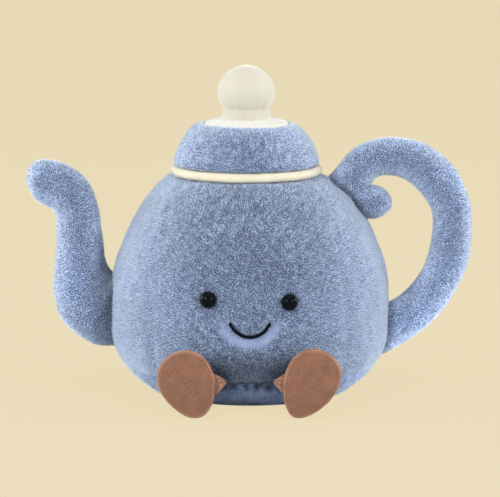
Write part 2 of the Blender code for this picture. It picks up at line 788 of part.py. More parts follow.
def ball_cutter(name, radius, location):
    """Round cutter that leaves room for the end of a leg."""
    bpy.ops.mesh.primitive_uv_sphere_add(
        segments=20, ring_count=12, radius=radius, location=location)
    return make_cutter(adopt(bpy.context.active_object, name))


def make_leg(side, root, ankle, pivot, material):
    """Short gathered leg, round at the body and at the ankle, with a waist between."""
    mesh = bpy.data.meshes.new("leg_" + side)
    work = bmesh.new()
    along = ankle - root
    length = along.length
    turn = along.to_track_quat("Z", "Y").to_matrix().to_4x4()
    rings = []
    for radius, height in leg_profile(length):
        ring = []
        for i in range(LEG_SIDES):
            angle = 2 * math.pi * i / LEG_SIDES
            point = Vector((radius * math.cos(angle), radius * math.sin(angle), height))
            ring.append(work.verts.new(turn @ point))
        rings.append(ring)
    for low, high in zip(rings[:-1], rings[1:]):
        for i in range(LEG_SIDES):
            j = (i + 1) % LEG_SIDES
            work.faces.new((low[i], low[j], high[j], high[i]))
    work.faces.new(rings[0][::-1])
    work.faces.new(rings[-1])
    bmesh.ops.recalc_face_normals(work, faces=work.faces)
    work.to_mesh(mesh)
    work.free()
    smooth_shade(mesh)
    return add_object("leg_" + side, mesh, material, parent=pivot)


def leg_profile(length):
    """Radius and height along the leg: two balls joined by a gathered waist."""
    small = LEG_ROOT_RADIUS
    large = ANKLE_RADIUS
    waist = LEG_WAIST_RADIUS
    points = []
    for angle in np.radians([-85, -62, -38, -14]):
        points.append((small * math.cos(angle), small * math.sin(angle)))
    points.append((waist, math.sqrt(small ** 2 - waist ** 2)))
    points.append((waist, length - math.sqrt(large ** 2 - waist ** 2)))
    for angle in np.radians([-16, 12, 38, 62, 85]):
        points.append((large * math.cos(angle), length + large * math.sin(angle)))
    return points


def main():
    """Make every sub-part."""
    body, panel, filling = make_body()
    make_lid()
    make_knob()
    make_limbs()
    make_smile()
    for side, sign in (("left", -1), ("right", 1)):
        make_eye(side, sign, body, filling)
        make_foot(side, sign, body, panel, filling)


main()
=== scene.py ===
# %% [markdown]
# # A plush teapot
# The object is a soft toy: a round teapot of short blue plush with a lid, a cream knob, a curved
# spout, a looped handle, a stitched smile and two feet of fine cord fabric. This lesson dresses
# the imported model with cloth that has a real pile, and each piece keeps the place of its solid.

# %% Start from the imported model
import math
from functools import partial

import bpy
import numpy as np
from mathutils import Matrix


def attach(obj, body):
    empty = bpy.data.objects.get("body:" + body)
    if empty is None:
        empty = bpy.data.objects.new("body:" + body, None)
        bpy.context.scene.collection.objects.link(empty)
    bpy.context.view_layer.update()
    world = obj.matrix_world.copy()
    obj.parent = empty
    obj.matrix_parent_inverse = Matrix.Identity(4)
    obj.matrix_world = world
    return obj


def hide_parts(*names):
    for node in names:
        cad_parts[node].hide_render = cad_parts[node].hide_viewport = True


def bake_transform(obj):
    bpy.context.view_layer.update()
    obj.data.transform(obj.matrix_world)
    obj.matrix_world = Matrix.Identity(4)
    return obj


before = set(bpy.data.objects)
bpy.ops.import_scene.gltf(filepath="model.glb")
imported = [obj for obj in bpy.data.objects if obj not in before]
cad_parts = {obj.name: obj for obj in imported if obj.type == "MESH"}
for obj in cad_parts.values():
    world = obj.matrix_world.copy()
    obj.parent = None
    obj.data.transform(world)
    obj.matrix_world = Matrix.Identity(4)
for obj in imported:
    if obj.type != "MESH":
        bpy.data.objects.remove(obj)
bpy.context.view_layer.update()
MM = 0.001

# %% [markdown]
# ## Camera
# The photograph was taken from in front and a little above with a long lens, so the near and
# far sides of the pot look equally large. The lens is worked out from the pixels: a focal
# length in pixels, times the sensor's width, over the picture's width.

# %% Camera
IMAGE_WIDTH = 500
FOCAL_PIXELS = 2683
SENSOR_WIDTH = 36
CAMERA_PLACE = (0.0, -1.700, 0.3638)
CAMERA_PITCH = math.radians(9.16)

camera_data = bpy.data.cameras.new("camera")
camera_data.sensor_fit = "HORIZONTAL"
camera_data.sensor_width = SENSOR_WIDTH
camera_data.lens = FOCAL_PIXELS * SENSOR_WIDTH / IMAGE_WIDTH
camera_data.clip_end = 30
camera = bpy.data.objects.new("camera", camera_data)
camera.location = CAMERA_PLACE
camera.rotation_euler = (math.pi / 2 - CAMERA_PITCH, 0, 0)
bpy.context.scene.collection.objects.link(camera)
bpy.context.scene.camera = camera
print("lens", round(camera_data.lens, 1), "mm")

# %% [markdown]
# ## Floor, backdrop and light
# The photograph has one flat pale beige behind and below the toy. The floor is a large plane.
# Seen straight on, part of its light is its own colour, which keeps it even, and the rest is
# real light, so the toy's soft shadow stays. Two softboxes beside the camera make the two
# highlights of each bead eye. Two large ones on the left and right make the edges of the toy
# lighter than its front, a weak one lights its top, and the sky and the floor fill the shadows.

# %% Colours, floor and world
def linear(red, green, blue):
    """Screen colour from 0 to 255 as linear colour: ((c + 0.055) / 1.055) to the power 2.4."""
    screen = np.array([red, green, blue]) / 255
    low = screen / 12.92
    high = ((screen + 0.055) / 1.055) ** 2.4
    return (*np.where(screen <= 0.04045, low, high).tolist(), 1.0)


BEIGE = linear(234, 220, 185)
SKY = (0.97, 0.985, 1.0, 1.0)
SKY_STRENGTH = 0.62
FLOOR_SELF_LIGHT = 0.94
PAPER = linear(232, 234, 238)
FLOOR_SIZE = 14.0


def feed(tree, node, inputs):
    """Give a node's inputs sockets to link to or plain values."""
    for label, value in inputs.items():
        if isinstance(value, bpy.types.NodeSocket):
            tree.links.new(value, node.inputs[label])
        else:
            node.inputs[label].default_value = value
    return node


def new_node(tree, kind, inputs, **settings):
    """A shader node with its properties and inputs."""
    node = tree.nodes.new("ShaderNode" + kind)
    for label, value in settings.items():
        setattr(node, label, value)
    return feed(tree, node, inputs)


def math_node(tree, operation, first, second):
    """The result of one Math node on two sockets or numbers."""
    return new_node(tree, "Math", {0: first, 1: second}, operation=operation).outputs[0]


def light_and_sight(owner, lit, seen, output, share=1.0):
    """Give a world or material one shader for light and a share of another for the eye.

    The eye's rays come from the camera, by way of a reflection or through glass.
    """
    owner.use_nodes = True
    tree = owner.node_tree
    tree.nodes.clear()
    rays = tree.nodes.new("ShaderNodeLightPath").outputs
    direct = math_node(tree, "MAXIMUM", rays["Is Camera Ray"], rays["Is Glossy Ray"])
    direct = math_node(tree, "MAXIMUM", direct, rays["Is Transmission Ray"])
    shaders = [new_node(tree, *shader).outputs[0] for shader in (lit, seen)]
    factor = math_node(tree, "MULTIPLY", direct, share)
    either = new_node(tree, "MixShader", {0: factor, 1: shaders[0], 2: shaders[1]})
    new_node(tree, output, {"Surface": either.outputs[0]})


world = bpy.data.worlds.new("studio")
bpy.context.scene.world = world
light_and_sight(world, ("Background", {"Color": SKY, "Strength": SKY_STRENGTH}),
                ("Background", {"Color": BEIGE}), "OutputWorld")

half = FLOOR_SIZE / 2
floor_mesh = bpy.data.meshes.new("floor")
floor_mesh.from_pydata([(-half, -half, 0), (half, -half, 0), (half, half, 0), (-half, half, 0)],
                       [], [(0, 1, 2, 3)])
floor = bpy.data.objects.new("floor", floor_mesh)
bpy.context.scene.collection.objects.link(floor)
floor_paint = bpy.data.materials.new("floor_paper")
glow = [(beige - (1 - FLOOR_SELF_LIGHT) * paper) / FLOOR_SELF_LIGHT
        for beige, paper in zip(BEIGE[:3], PAPER[:3])]
light_and_sight(floor_paint, ("BsdfDiffuse", {"Color": PAPER}),
                ("Emission", {"Color": (*glow, 1.0)}), "OutputMaterial", FLOOR_SELF_LIGHT)
floor_mesh.materials.append(floor_paint)

# %% Softboxes
TARGET = np.array([0.0, 0.0, 0.085])
SOFTBOXES = {                       # azimuth from the camera, elevation, distance, size, watts
    "softbox_left": (-40, 24, 1.5, 0.28, 9.0),
    "softbox_right": (44, 24, 1.5, 0.28, 8.0),
    "side_left": (-100, 16, 1.5, 0.8, 10.0),
    "side_right": (100, 16, 1.5, 0.8, 10.0),
    "softbox_top": (0, 82, 1.4, 0.9, 2.5),
}


def add_softbox(name, azimuth, elevation, distance, size, watts):
    """Square lamp on a sphere round the toy, turned to face it."""
    side, up = math.radians(azimuth), math.radians(elevation)
    way = np.array([math.sin(side) * math.cos(up), -math.cos(side) * math.cos(up), math.sin(up)])
    light = bpy.data.lights.new(name, "AREA")
    light.shape = "SQUARE"
    light.size = size
    light.energy = watts
    lamp = bpy.data.objects.new(name, light)
    lamp.location = TARGET + distance * way
    lamp.rotation_euler = (math.pi / 2 - up, 0, side)
    bpy.context.scene.collection.objects.link(lamp)


for name, values in SOFTBOXES.items():
    add_softbox(name, *values)

view = bpy.context.scene.view_settings
view.view_transform = "Standard"

# %% [markdown]
# ## Surfaces on a grid
# Every soft piece here is a tube in the wide sense: rings that follow one another, where `u`
# goes round and `v` goes along. One array of rows x columns x 3 holds it, and all that
# follows, such as normals, thickness, faces and the pile, is worked out from that array.

# %% Grid helpers
def tube_of_rings(centres, radii, along, sides):
    """Rings round a path in the XZ plane: centre + radius (cos u n + sin u y), n square to it."""
    turn = np.linspace(0, 2 * np.pi, sides, endpoint=False)
    square = np.stack([along[:, 1], -along[:, 0]], axis=1)
    out = radii[:, None] * np.cos(turn)
    return np.stack([
        centres[:, 0, None] + out * square[:, 0, None],
        radii[:, None] * np.sin(turn),
        centres[:, 1, None] + out * square[:, 1, None],
    ], axis=2)


def turned(profile, sides):
    """Profile of (radius, height) turned round Z: (r sin u, -r cos u, z), so u = 0 is in front."""
    turn = np.linspace(0, 2 * np.pi, sides, endpoint=False)
    radius = profile[:, 0, None]
    return np.stack([
        radius * np.sin(turn),
        -radius * np.cos(turn),
        np.repeat(profile[:, 1, None], sides, axis=1),
    ], axis=2)


def length_along(line):
    """Distance along a line from its first point to each of its points."""
    return np.append(0, np.cumsum(np.linalg.norm(np.diff(line, axis=0), axis=1)))


def evenly(profile, rows):
    """The same line with its points at equal steps of its length."""
    length = length_along(profile)
    places = np.linspace(0, length[-1], rows)
    return np.stack([np.interp(places, length, column) for column in profile.T], axis=1)


def crossed_steps(grid):
    """Cross product of the steps round and along, and whether it points to the rings' middles."""
    around = np.roll(grid, -1, axis=1) - np.roll(grid, 1, axis=1)
    crossed = np.cross(around, np.gradient(grid, axis=0))
    return crossed, np.sum(crossed * (grid - grid.mean(axis=1, keepdims=True))) < 0


def unit(vectors):
    """The same directions with a length of 1."""
    return vectors / np.linalg.norm(vectors, axis=-1, keepdims=True)


def grid_normals(grid):
    """Unit normals, turned to point away from each ring's middle."""
    normals, inwards = crossed_steps(grid)
    normals = normals / np.maximum(np.linalg.norm(normals, axis=2, keepdims=True), 1e-12)
    return -normals if inwards else normals


def lifted(grid, distance):
    """Move a surface along its normals; a negative distance sets it in."""
    distance = np.asarray(distance, float)
    if distance.ndim:
        distance = distance[..., None]
    return grid + distance * grid_normals(grid)


def sample(grid, u, v):
    """Points of the grid between its corners, with u from 0 to 1 round and v from 0 to 1 along."""
    rows, sides = grid.shape[:2]
    x = (u % 1.0) * sides
    y = np.clip(v, 0, 1) * (rows - 1)
    left = np.floor(x).astype(int) % sides
    right = (left + 1) % sides
    low = np.minimum(np.floor(y).astype(int), rows - 2)
    fx = (x - np.floor(x))[:, None]
    fy = (y - low)[:, None]
    near = grid[low, left] * (1 - fx) + grid[low, right] * fx
    far = grid[low + 1, left] * (1 - fx) + grid[low + 1, right] * fx
    return near * (1 - fy) + far * fy


def waves(points, size, seed, count=9):
    """Smooth noise from -1 to 1: a sum of sine waves in random directions, about size apart."""
    dice = np.random.default_rng(seed)
    ways = dice.normal(size=(3, count))
    ways *= 2 * np.pi / size * dice.uniform(0.6, 1.5, count) / np.linalg.norm(ways, axis=0)
    phases = dice.uniform(0, 2 * np.pi, count)
    return np.sin(points @ ways + phases).sum(axis=-1) / math.sqrt(count * 1.2)


def ramp(value, start, width):
    """0 up to the start, then evenly up to 1 over the width."""
    return np.clip((value - start) / width, 0, 1)


def fade(value, end, width):
    """1, then evenly down over the width to 0 at the end."""
    return np.clip((end - value) / width, 0, 1)


def bell(distance, width):
    """1 at no distance, 1/e at one width: e to the power of minus the square of their ratio."""
    return np.exp(-(distance / width) ** 2)


def make_piece(name, vertices, loops, starts, material):
    """A mesh piece from flat arrays: every face is a run of loops that begins at its start."""
    mesh = bpy.data.meshes.new(name)
    mesh.vertices.add(len(vertices))
    mesh.vertices.foreach_set("co", np.asarray(vertices, np.float32).ravel())
    mesh.loops.add(len(loops))
    mesh.loops.foreach_set("vertex_index", np.asarray(loops, np.int32))
    mesh.polygons.add(len(starts))
    mesh.polygons.foreach_set("loop_start", np.asarray(starts, np.int32))
    mesh.update(calc_edges=True)
    mesh.validate()
    mesh.polygons.foreach_set("use_smooth", np.ones(len(mesh.polygons), bool))
    mesh.materials.append(material)
    piece = bpy.data.objects.new(name, mesh)
    bpy.context.scene.collection.objects.link(piece)
    return piece


def skin(name, grid, material, marks=None):
    """Close a grid with a middle point at each end and make it a piece that faces outwards."""
    rows, sides = grid.shape[:2]
    index = np.arange(rows * sides).reshape(rows, sides)
    after = np.roll(index, -1, axis=1)
    quads = np.stack([index[:-1], after[:-1], after[1:], index[1:]], axis=2).reshape(-1, 4)
    first, last = rows * sides, rows * sides + 1
    top = np.stack([after[0], index[0], np.full(sides, first)], axis=1)
    bottom = np.stack([index[-1], after[-1], np.full(sides, last)], axis=1)
    vertices = np.vstack([grid.reshape(-1, 3), grid[0].mean(axis=0), grid[-1].mean(axis=0)])
    if crossed_steps(grid)[1]:
        quads, top, bottom = quads[:, ::-1], top[:, ::-1], bottom[:, ::-1]
    loops = np.concatenate([quads.ravel(), top.ravel(), bottom.ravel()])
    starts = np.concatenate([
        np.arange(len(quads)) * 4,
        len(quads) * 4 + np.arange(2 * sides) * 3,
    ])
    piece = make_piece(name, vertices, loops, starts, material)
    if marks is not None:
        ends = np.stack([marks[0].mean(axis=0), marks[-1].mean(axis=0)])
        colours = np.vstack([marks.reshape(-1, marks.shape[2]), ends])
        set_marks(piece, colours)
    return piece


def set_marks(piece, marks):
    """Keep up to four masks per vertex for the materials to read; the fourth is a shade."""
    rgba = np.ones((len(marks), 4), np.float32)
    rgba[:, :marks.shape[1]] = marks
    layer = piece.data.attributes.new("marks", "FLOAT_COLOR", "POINT")
    layer.data.foreach_set("color", rgba.ravel())


# %% [markdown]
# ## Stuffed covers
# A stuffed panel swells between its seams. Blender's cloth does this well: the grid becomes a
# coarse closed mesh, its seams are pinned, air pressure pushes it out for twenty frames, and the
# movement is capped so that the toy keeps its size. The result goes back into the array.

# %% Cloth under pressure
STUFFING_FRAMES = 20
STUFFING_CAP = 1.0 * MM
PIN_STEPS = 10
CLOTH_SETTINGS = dict(
    quality=6, mass=0.3, tension_stiffness=12, compression_stiffness=12, bending_stiffness=0.4,
    use_pressure=True, uniform_pressure_force=4.0, vertex_group_mass="pin")


def corners(rows, sides):
    """u and v of a grid's corners, row by row."""
    v, u = np.meshgrid(np.linspace(0, 1, rows), np.arange(sides) / sides, indexing="ij")
    return u.ravel(), v.ravel()


def stuffed(grid, pinned, cap=STUFFING_CAP, rows=40, sides=80):
    """Blow up a coarse copy of the grid between its pinned places and add the capped movement."""
    coarse = sample(grid, *corners(rows, sides)).reshape(rows, sides, 3)
    hold = np.append(sample(pinned[..., None], *corners(rows, sides))[:, 0], [1, 1])
    hold[:sides] = 1
    hold[(rows - 1) * sides:] = 1
    plain = bpy.data.materials.new("stuffing")
    piece = skin("stuffing", coarse, plain)
    group = piece.vertex_groups.new(name="pin")
    for level in range(PIN_STEPS + 1):
        chosen = np.flatnonzero(np.round(hold * PIN_STEPS) == level).tolist()
        group.add(chosen, level / PIN_STEPS, "REPLACE")
    settings = piece.modifiers.new("cloth", "CLOTH").settings
    for label, value in CLOTH_SETTINGS.items():
        setattr(settings, label, value)
    settings.effector_weights.gravity = 0
    scene = bpy.context.scene
    for number in range(1, STUFFING_FRAMES + 1):
        scene.frame_set(number)
    shape = piece.evaluated_get(bpy.context.evaluated_depsgraph_get()).data
    moved = np.empty(len(shape.vertices) * 3, np.float32)
    shape.vertices.foreach_get("co", moved)
    moved = moved.reshape(-1, 3)[:rows * sides].reshape(rows, sides, 3) - coarse
    scene.frame_set(1)
    bpy.data.objects.remove(piece, do_unlink=True)
    bpy.data.materials.remove(plain)
    length = np.maximum(np.linalg.norm(moved, axis=2, keepdims=True), 1e-9)
    moved = moved * np.minimum(1, cap / length)
    print("  stuffed, moved up to", round(float(length.max()) / MM, 2), "mm before the cap")
    return grid + sample(moved, *corners(*grid.shape[:2])).reshape(grid.shape)


# %% [markdown]
# ## Pile
# Plush is a knitted backing with a dense pile. At this size the pile shows as short curly
# strands, about half a millimetre thick, that lean in all directions: dark between them and
# pale at their tips. Each strand is a three-sided spike on the grid, shaded mostly like the cloth
# below it. The height on the strand is kept in the marks, so that the colour can run from a root
# painted darker, as painted shade deep in the pile, to the tip. Every strand has its own cell in
# the UV map, so that the colours can be baked.

# %% Pile helper
JITTER = 0.42                       # share of a strand's own room, to either side
CLUMP_SIZE = 6 * MM                 # strands this near to each other lean much the same way
CLUMP_BEND = STRAY_BEND = 0.55      # bend that a clump shares, and bend of a strand's own
PRESSED_BEND = 1.0
ROOT_DEPTH = 0.2 * MM
TONE_SIZE = 2.2 * MM
OWN_TONE, SHARED_TONE = 0.38, 0.14


def scattered(grid, spacing, dice):
    """u and v of strands in rows, as many in each ring as its length allows, then jittered."""
    step = np.linalg.norm(np.diff(grid, axis=0), axis=2).mean(axis=1)
    length = np.concatenate([[0], np.cumsum(step)])
    rings = max(int(round(length[-1] / spacing)), 2)
    row_v = np.interp((np.arange(rings) + 0.5) / rings * length[-1], length,
                      np.linspace(0, 1, len(length)))
    girth = np.linalg.norm(np.roll(grid, -1, axis=1) - grid, axis=2).sum(axis=1)
    row_girth = np.interp(row_v, np.linspace(0, 1, len(girth)), girth)
    count = np.maximum(np.round(row_girth / spacing).astype(int), 3)
    row = np.repeat(np.arange(rings), count)
    place = np.arange(count.sum()) - np.repeat(np.cumsum(count) - count, count)
    shift = dice.uniform(0, 1, rings)[row]
    u = (place + shift + dice.uniform(-JITTER, JITTER, len(row))) / count[row]
    v = row_v[row] + dice.uniform(-JITTER, JITTER, len(row)) / rings
    return u % 1.0, np.clip(v, 0, 1)


def pile(name, grid, material, spacing, length, width, lean=1.0, keep=None, press=None,
         shade=None, vary=None, seed=1, split=None):
    """Strands on a grid: each goes from root to root + length (normal + lean bend) / |...|."""
    dice = np.random.default_rng(seed)
    u, v = scattered(grid, spacing, dice)
    root = sample(grid, u, v)
    up = sample(grid_normals(grid), u, v)
    if keep is not None:
        chosen = keep(root)
        root, up = root[chosen], up[chosen]
    up = unit(up)
    count = len(root)
    swirl = np.stack([waves(root, CLUMP_SIZE, seed * 10 + axis) for axis in range(3)], axis=1)
    varied = np.ones(count) if vary is None else vary(root)
    bend = CLUMP_BEND * varied[:, None] ** 2 * swirl + STRAY_BEND * dice.normal(size=(count, 3))
    bend -= np.sum(bend * up, axis=1, keepdims=True) * up
    pressed = np.zeros(count) if press is None else press(root)
    tall = length * dice.uniform(0.75, 1.15, count) * (1 - 0.5 * pressed)
    way = unit(up + lean * (1 + PRESSED_BEND * pressed[:, None]) * bend)
    side = unit(np.cross(up, way + 0.01 * dice.normal(size=(count, 3))))
    across = np.cross(up, side)
    thick = width / 2 * dice.uniform(0.8, 1.2, count)
    spin = dice.uniform(0, 2 * np.pi / 3, count)
    points, normals = [], []
    for corner in range(3):
        angle = (spin + corner * 2 * np.pi / 3)[:, None]
        out = np.cos(angle) * side + np.sin(angle) * across
        points.append(root - ROOT_DEPTH * up + thick[:, None] * out)
        normals.append(up + 0.45 * (varied * (1 - 0.8 * pressed))[:, None] * out)
    points.append(root + tall[:, None] * way)
    normals.append(up + 0.35 * way)
    dark = np.ones(count) if shade is None else shade(root)
    tone = OWN_TONE * dice.normal(size=count) + SHARED_TONE * waves(root, TONE_SIZE, seed + 70)
    looks = np.stack([np.clip(0.5 + varied * tone, 0, 1), pressed, dark], axis=1)
    pieces = []
    for part, chosen in enumerate([np.ones(count, bool)] if split is None else split(root)):
        label = name if split is None else f"{name}_{part + 1}"
        ends = np.stack([column[chosen] for column in points], axis=1)
        ways = np.stack([column[chosen] for column in normals], axis=1)
        pieces.append(spikes(label, ends, ways, looks[chosen], material))
    return pieces


def spikes(name, ends, ways, looks, material):
    """Three-sided spikes from four points each, shaded with the given normals."""
    count = len(ends)
    base = (np.arange(count) * 4)[:, None]
    loops = np.array([0, 1, 3, 1, 2, 3, 2, 0, 3])[None] + base
    starts = np.arange(count * 3) * 3
    piece = make_piece(name, ends.reshape(-1, 3), loops.ravel(), starts, material)
    piece.data.normals_split_custom_set_from_vertices(unit(ways.reshape(-1, 3)).tolist())
    height = np.tile([0, 0, 0, 1.0], count)
    set_marks(piece, np.column_stack([height, np.repeat(looks, 4, axis=0)]))
    side = int(math.ceil(math.sqrt(count)))
    local = np.array([[[k, 0], [k + 1, 0], [k + 0.5, 3]] for k in range(3)]).reshape(9, 2)
    corner = np.stack([np.arange(count) % side, np.arange(count) // side], axis=1)
    uv = (corner[:, None] + 0.04 + 0.92 * local[None] / 3) / side
    layer = piece.data.uv_layers.new(name="OFBake")
    layer.data.foreach_set("uv", uv.astype(np.float32).ravel())
    print("  ", name, count, "strands")
    return piece


# %% [markdown]
# ## Materials
# The same effects come back in several finishes, so each is one node group with named sockets.
# `pile_tone` mixes a root and a tip colour by the marks of the pile, adds a different tone for
# each strand and wide soft patches where hands have brushed the cloth, paints pressed places paler
# as painted sheen, and scales it all by the painted light and shade kept in the marks. `cord_tone`
# does the same for the ridges of cord fabric, with painted sheen on rims and fold crests.
# `fine_grain` gives a height for bumps too small to model.

# %% Node groups
def new_group(name, inputs, outputs):
    """Empty shader group with typed sockets; inputs may carry a default value."""
    group = bpy.data.node_groups.new(name, "ShaderNodeTree")
    for label, kind, value in inputs:
        socket = group.interface.new_socket(label, in_out="INPUT", socket_type=kind)
        if value is not None:
            socket.default_value = value
    for label, kind in outputs:
        group.interface.new_socket(label, in_out="OUTPUT", socket_type=kind)
    enter = group.nodes.new("NodeGroupInput")
    leave = group.nodes.new("NodeGroupOutput")
    return group, enter, leave


def mix_node(group, factor, first, second):
    """Mix two colours by a factor."""
    mixed = new_node(group, "Mix", {0: factor, 6: first, 7: second}, data_type="RGBA")
    return mixed.outputs[2]


def noise_node(group, scale, detail, roughness):
    """Noise on Object coordinates, with the scale in cells per metre."""
    place = group.nodes.new("ShaderNodeTexCoord").outputs["Object"]
    look = {"Vector": place, "Scale": scale, "Detail": detail, "Roughness": roughness}
    return new_node(group, "TexNoise", look).outputs["Fac"]


def marks_of(group):
    """The three masks and the shade kept in the marks attribute."""
    marks = new_node(group, "Attribute", {}, attribute_name="marks").outputs
    masks = new_node(group, "SeparateColor", {0: marks["Color"]}).outputs
    return *masks[:3], marks["Alpha"]


def scaled_colour(group, colour, light):
    """A colour times a number."""
    return new_node(group, "VectorMath", {0: colour, "Scale": light}, operation="SCALE").outputs[0]


COLOUR = "NodeSocketColor"
VALUE = "NodeSocketFloat"
PATCH_SCALE = 45                    # cells per metre, as all the scales of noise here
FIBRE_SCALE = 1100
WORN_SCALE = 160


def sums_of(group):
    """Add, subtract and multiply, as Math nodes of one group."""
    return [partial(math_node, group, name) for name in ("ADD", "SUBTRACT", "MULTIPLY")]


def pile_tone_group():
    """Root to tip by height, a tone per strand, brushed patches, painted sheen on pressed places,
    a painted light and shade.
    """
    group, enter, leave = new_group(
        "pile_tone", [("Root", COLOUR, None), ("Tip", COLOUR, None),
                      ("Strand", VALUE, 0.3), ("Patch", VALUE, 0.2)],
        [("Color", COLOUR), ("Roughness", VALUE)])
    add, subtract, multiply = sums_of(group)
    height, tone, pressed, shade = marks_of(group)
    base = mix_node(group, height, enter.outputs["Root"], enter.outputs["Tip"])
    spread = multiply(subtract(tone, 0.5), enter.outputs["Strand"])
    spread = multiply(spread, subtract(1.0, multiply(pressed, 0.5)))
    patches = subtract(noise_node(group, PATCH_SCALE, 3, 0.6), 0.5)
    patches = multiply(patches, enter.outputs["Patch"])
    # Pressed places are painted paler, a painted sheen; the shade from the marks is painted light
    # and shade.
    light = add(add(add(spread, patches), 1.0), multiply(pressed, 0.10))
    group.links.new(scaled_colour(group, base, multiply(light, shade)), leave.inputs["Color"])
    group.links.new(subtract(0.95, multiply(height, 0.15)), leave.inputs["Roughness"])
    return group


def cord_tone_group():
    """Colour of cord fabric: groove to ridge, fibres across the ridges, painted sheen on rims and
    fold crests.
    """
    group, enter, leave = new_group(
        "cord_tone", [("Groove", COLOUR, None), ("Ridge", COLOUR, None), ("Edge Sheen", COLOUR, None)],
        [("Color", COLOUR), ("Roughness", VALUE), ("Height", VALUE)])
    add, subtract, multiply = sums_of(group)
    ridge, edge_sheen, _, shade = marks_of(group)
    fibres = noise_node(group, FIBRE_SCALE, 2, 0.6)
    patches = noise_node(group, WORN_SCALE, 3, 0.6)
    level = add(ridge, multiply(subtract(fibres, 0.5), 0.9))
    level = math_node(group, "MINIMUM", math_node(group, "MAXIMUM", level, 0.0), 1.0)
    base = mix_node(group, level, enter.outputs["Groove"], enter.outputs["Ridge"])
    # Painted sheen: paler towards the edge sheen colour where the mask is high.
    base = mix_node(group, multiply(edge_sheen, add(patches, 0.25)), base, enter.outputs["Edge Sheen"])
    light = multiply(add(0.68, multiply(patches, 0.64)), shade)
    group.links.new(scaled_colour(group, base, light), leave.inputs["Color"])
    group.links.new(add(0.78, multiply(fibres, 0.2)), leave.inputs["Roughness"])
    group.links.new(fibres, leave.inputs["Height"])
    return group


def fine_grain_group():
    """Fine height noise and a matching tone for cloth and plastic."""
    group, enter, leave = new_group(
        "fine_grain",
        [("Scale", VALUE, 900.0), ("Color", COLOUR, None), ("Spread", VALUE, 0.2)],
        [("Color", COLOUR), ("Height", VALUE)])
    add, subtract, multiply = sums_of(group)
    grain = noise_node(group, enter.outputs["Scale"], 3.0, 0.65)
    light = add(multiply(subtract(grain, 0.5), enter.outputs["Spread"]), 1.0)
    group.links.new(scaled_colour(group, enter.outputs["Color"], light), leave.inputs["Color"])
    group.links.new(grain, leave.inputs["Height"])
    return group


PILE_TONE = pile_tone_group()
CORD_TONE = cord_tone_group()
FINE_GRAIN = fine_grain_group()

# %% [markdown]
# A material takes one of the groups, gives it this finish's own colours and adds the shader.
# The sheen on the shader is the pale glow that short fibres show towards the edges.

# %% Materials
WHITE = (1, 1, 1, 1)
SHEEN_ROUGHNESS = 0.45


def finish(name, group, colours, values=None, roughness=0.9, sheen=0.0, tint=WHITE,
           bump=0.0, bump_depth=0.2 * MM, specular=0.3):
    """A Principled material whose colour, roughness and bump come from one of the groups."""
    material = bpy.data.materials.new(name)
    material.use_nodes = True
    tree = material.node_tree
    inputs = {label: linear(*colour) for label, colour in colours.items()} | (values or {})
    made = new_node(tree, "Group", inputs, node_tree=group).outputs
    look = {"Base Color": made["Color"], "Roughness": made.get("Roughness", roughness),
            "Sheen Weight": sheen, "Sheen Roughness": SHEEN_ROUGHNESS, "Sheen Tint": tint,
            "Specular IOR Level": specular}
    if bump:
        bumps = {"Strength": bump, "Distance": bump_depth, "Height": made["Height"]}
        look["Normal"] = new_node(tree, "Bump", bumps).outputs["Normal"]
    feed(tree, tree.nodes["Principled BSDF"], look)
    return material


# Root colours are darker than the tips: painted shade deep in the pile.
BLUE_TINT = (0.78, 0.87, 1.0, 1.0)
blue_plush = finish(
    "blue_plush", PILE_TONE, {"Root": (112, 135, 178), "Tip": (219, 234, 255)},
    {"Strand": 1.15, "Patch": 0.20}, sheen=1.0, tint=BLUE_TINT)
blue_base = finish(
    "blue_base", PILE_TONE, {"Root": (112, 135, 180), "Tip": (200, 218, 248)},
    {"Strand": 0.6, "Patch": 0.9}, sheen=0.7, tint=BLUE_TINT)
# The disc's cream is painted lighter than the piping's: painted light for the disc's top, which
# the lamps reach little.
cream_plush = finish(
    "cream_plush", PILE_TONE, {"Root": (248, 243, 226), "Tip": (255, 254, 245)},
    {"Strand": 0.04, "Patch": 0.04}, sheen=0.8)
cream_piping = finish(
    "cream_piping", PILE_TONE, {"Root": (226, 217, 192), "Tip": (242, 234, 210)},
    {"Strand": 0.05, "Patch": 0.05}, sheen=0.6)
cream_knob = finish(
    "cream_knob", FINE_GRAIN, {"Color": (196, 191, 173)}, {"Scale": 1300.0, "Spread": 0.10},
    sheen=0.8, tint=(1, 0.99, 0.94, 1), bump=0.35, bump_depth=0.15 * MM)
# The third colour is painted sheen for rims and fold crests.
brown_cord = finish(
    "brown_cord", CORD_TONE,
    {"Groove": (88, 57, 43), "Ridge": (144, 102, 80), "Edge Sheen": (176, 133, 108)},
    sheen=0.25, tint=(1, 0.86, 0.78, 1), bump=0.4, bump_depth=0.12 * MM)
seam_thread = finish(
    "seam_thread", FINE_GRAIN, {"Color": (150, 108, 86)}, {"Scale": 2200.0, "Spread": 0.4},
    roughness=0.7, bump=0.3, bump_depth=0.08 * MM)
bead_black = finish(
    "bead_black", FINE_GRAIN, {"Color": (2, 6, 14)}, {"Scale": 300.0, "Spread": 0.25},
    roughness=0.15, specular=0.085)
smile_thread = finish(
    "smile_thread", FINE_GRAIN, {"Color": (6, 8, 20)}, {"Scale": 2600.0, "Spread": 0.5},
    roughness=0.7, specular=0.06, bump=0.4, bump_depth=0.08 * MM)
white_fibre = finish(
    "white_fibre", FINE_GRAIN, {"Color": (236, 236, 232)}, {"Scale": 700.0, "Spread": 0.12},
    roughness=1.0, bump=0.6, bump_depth=0.4 * MM)
pouch_linen = finish(
    "pouch_linen", FINE_GRAIN, {"Color": (214, 205, 186)}, {"Scale": 1600.0, "Spread": 0.25},
    roughness=0.9, bump=0.5, bump_depth=0.2 * MM)
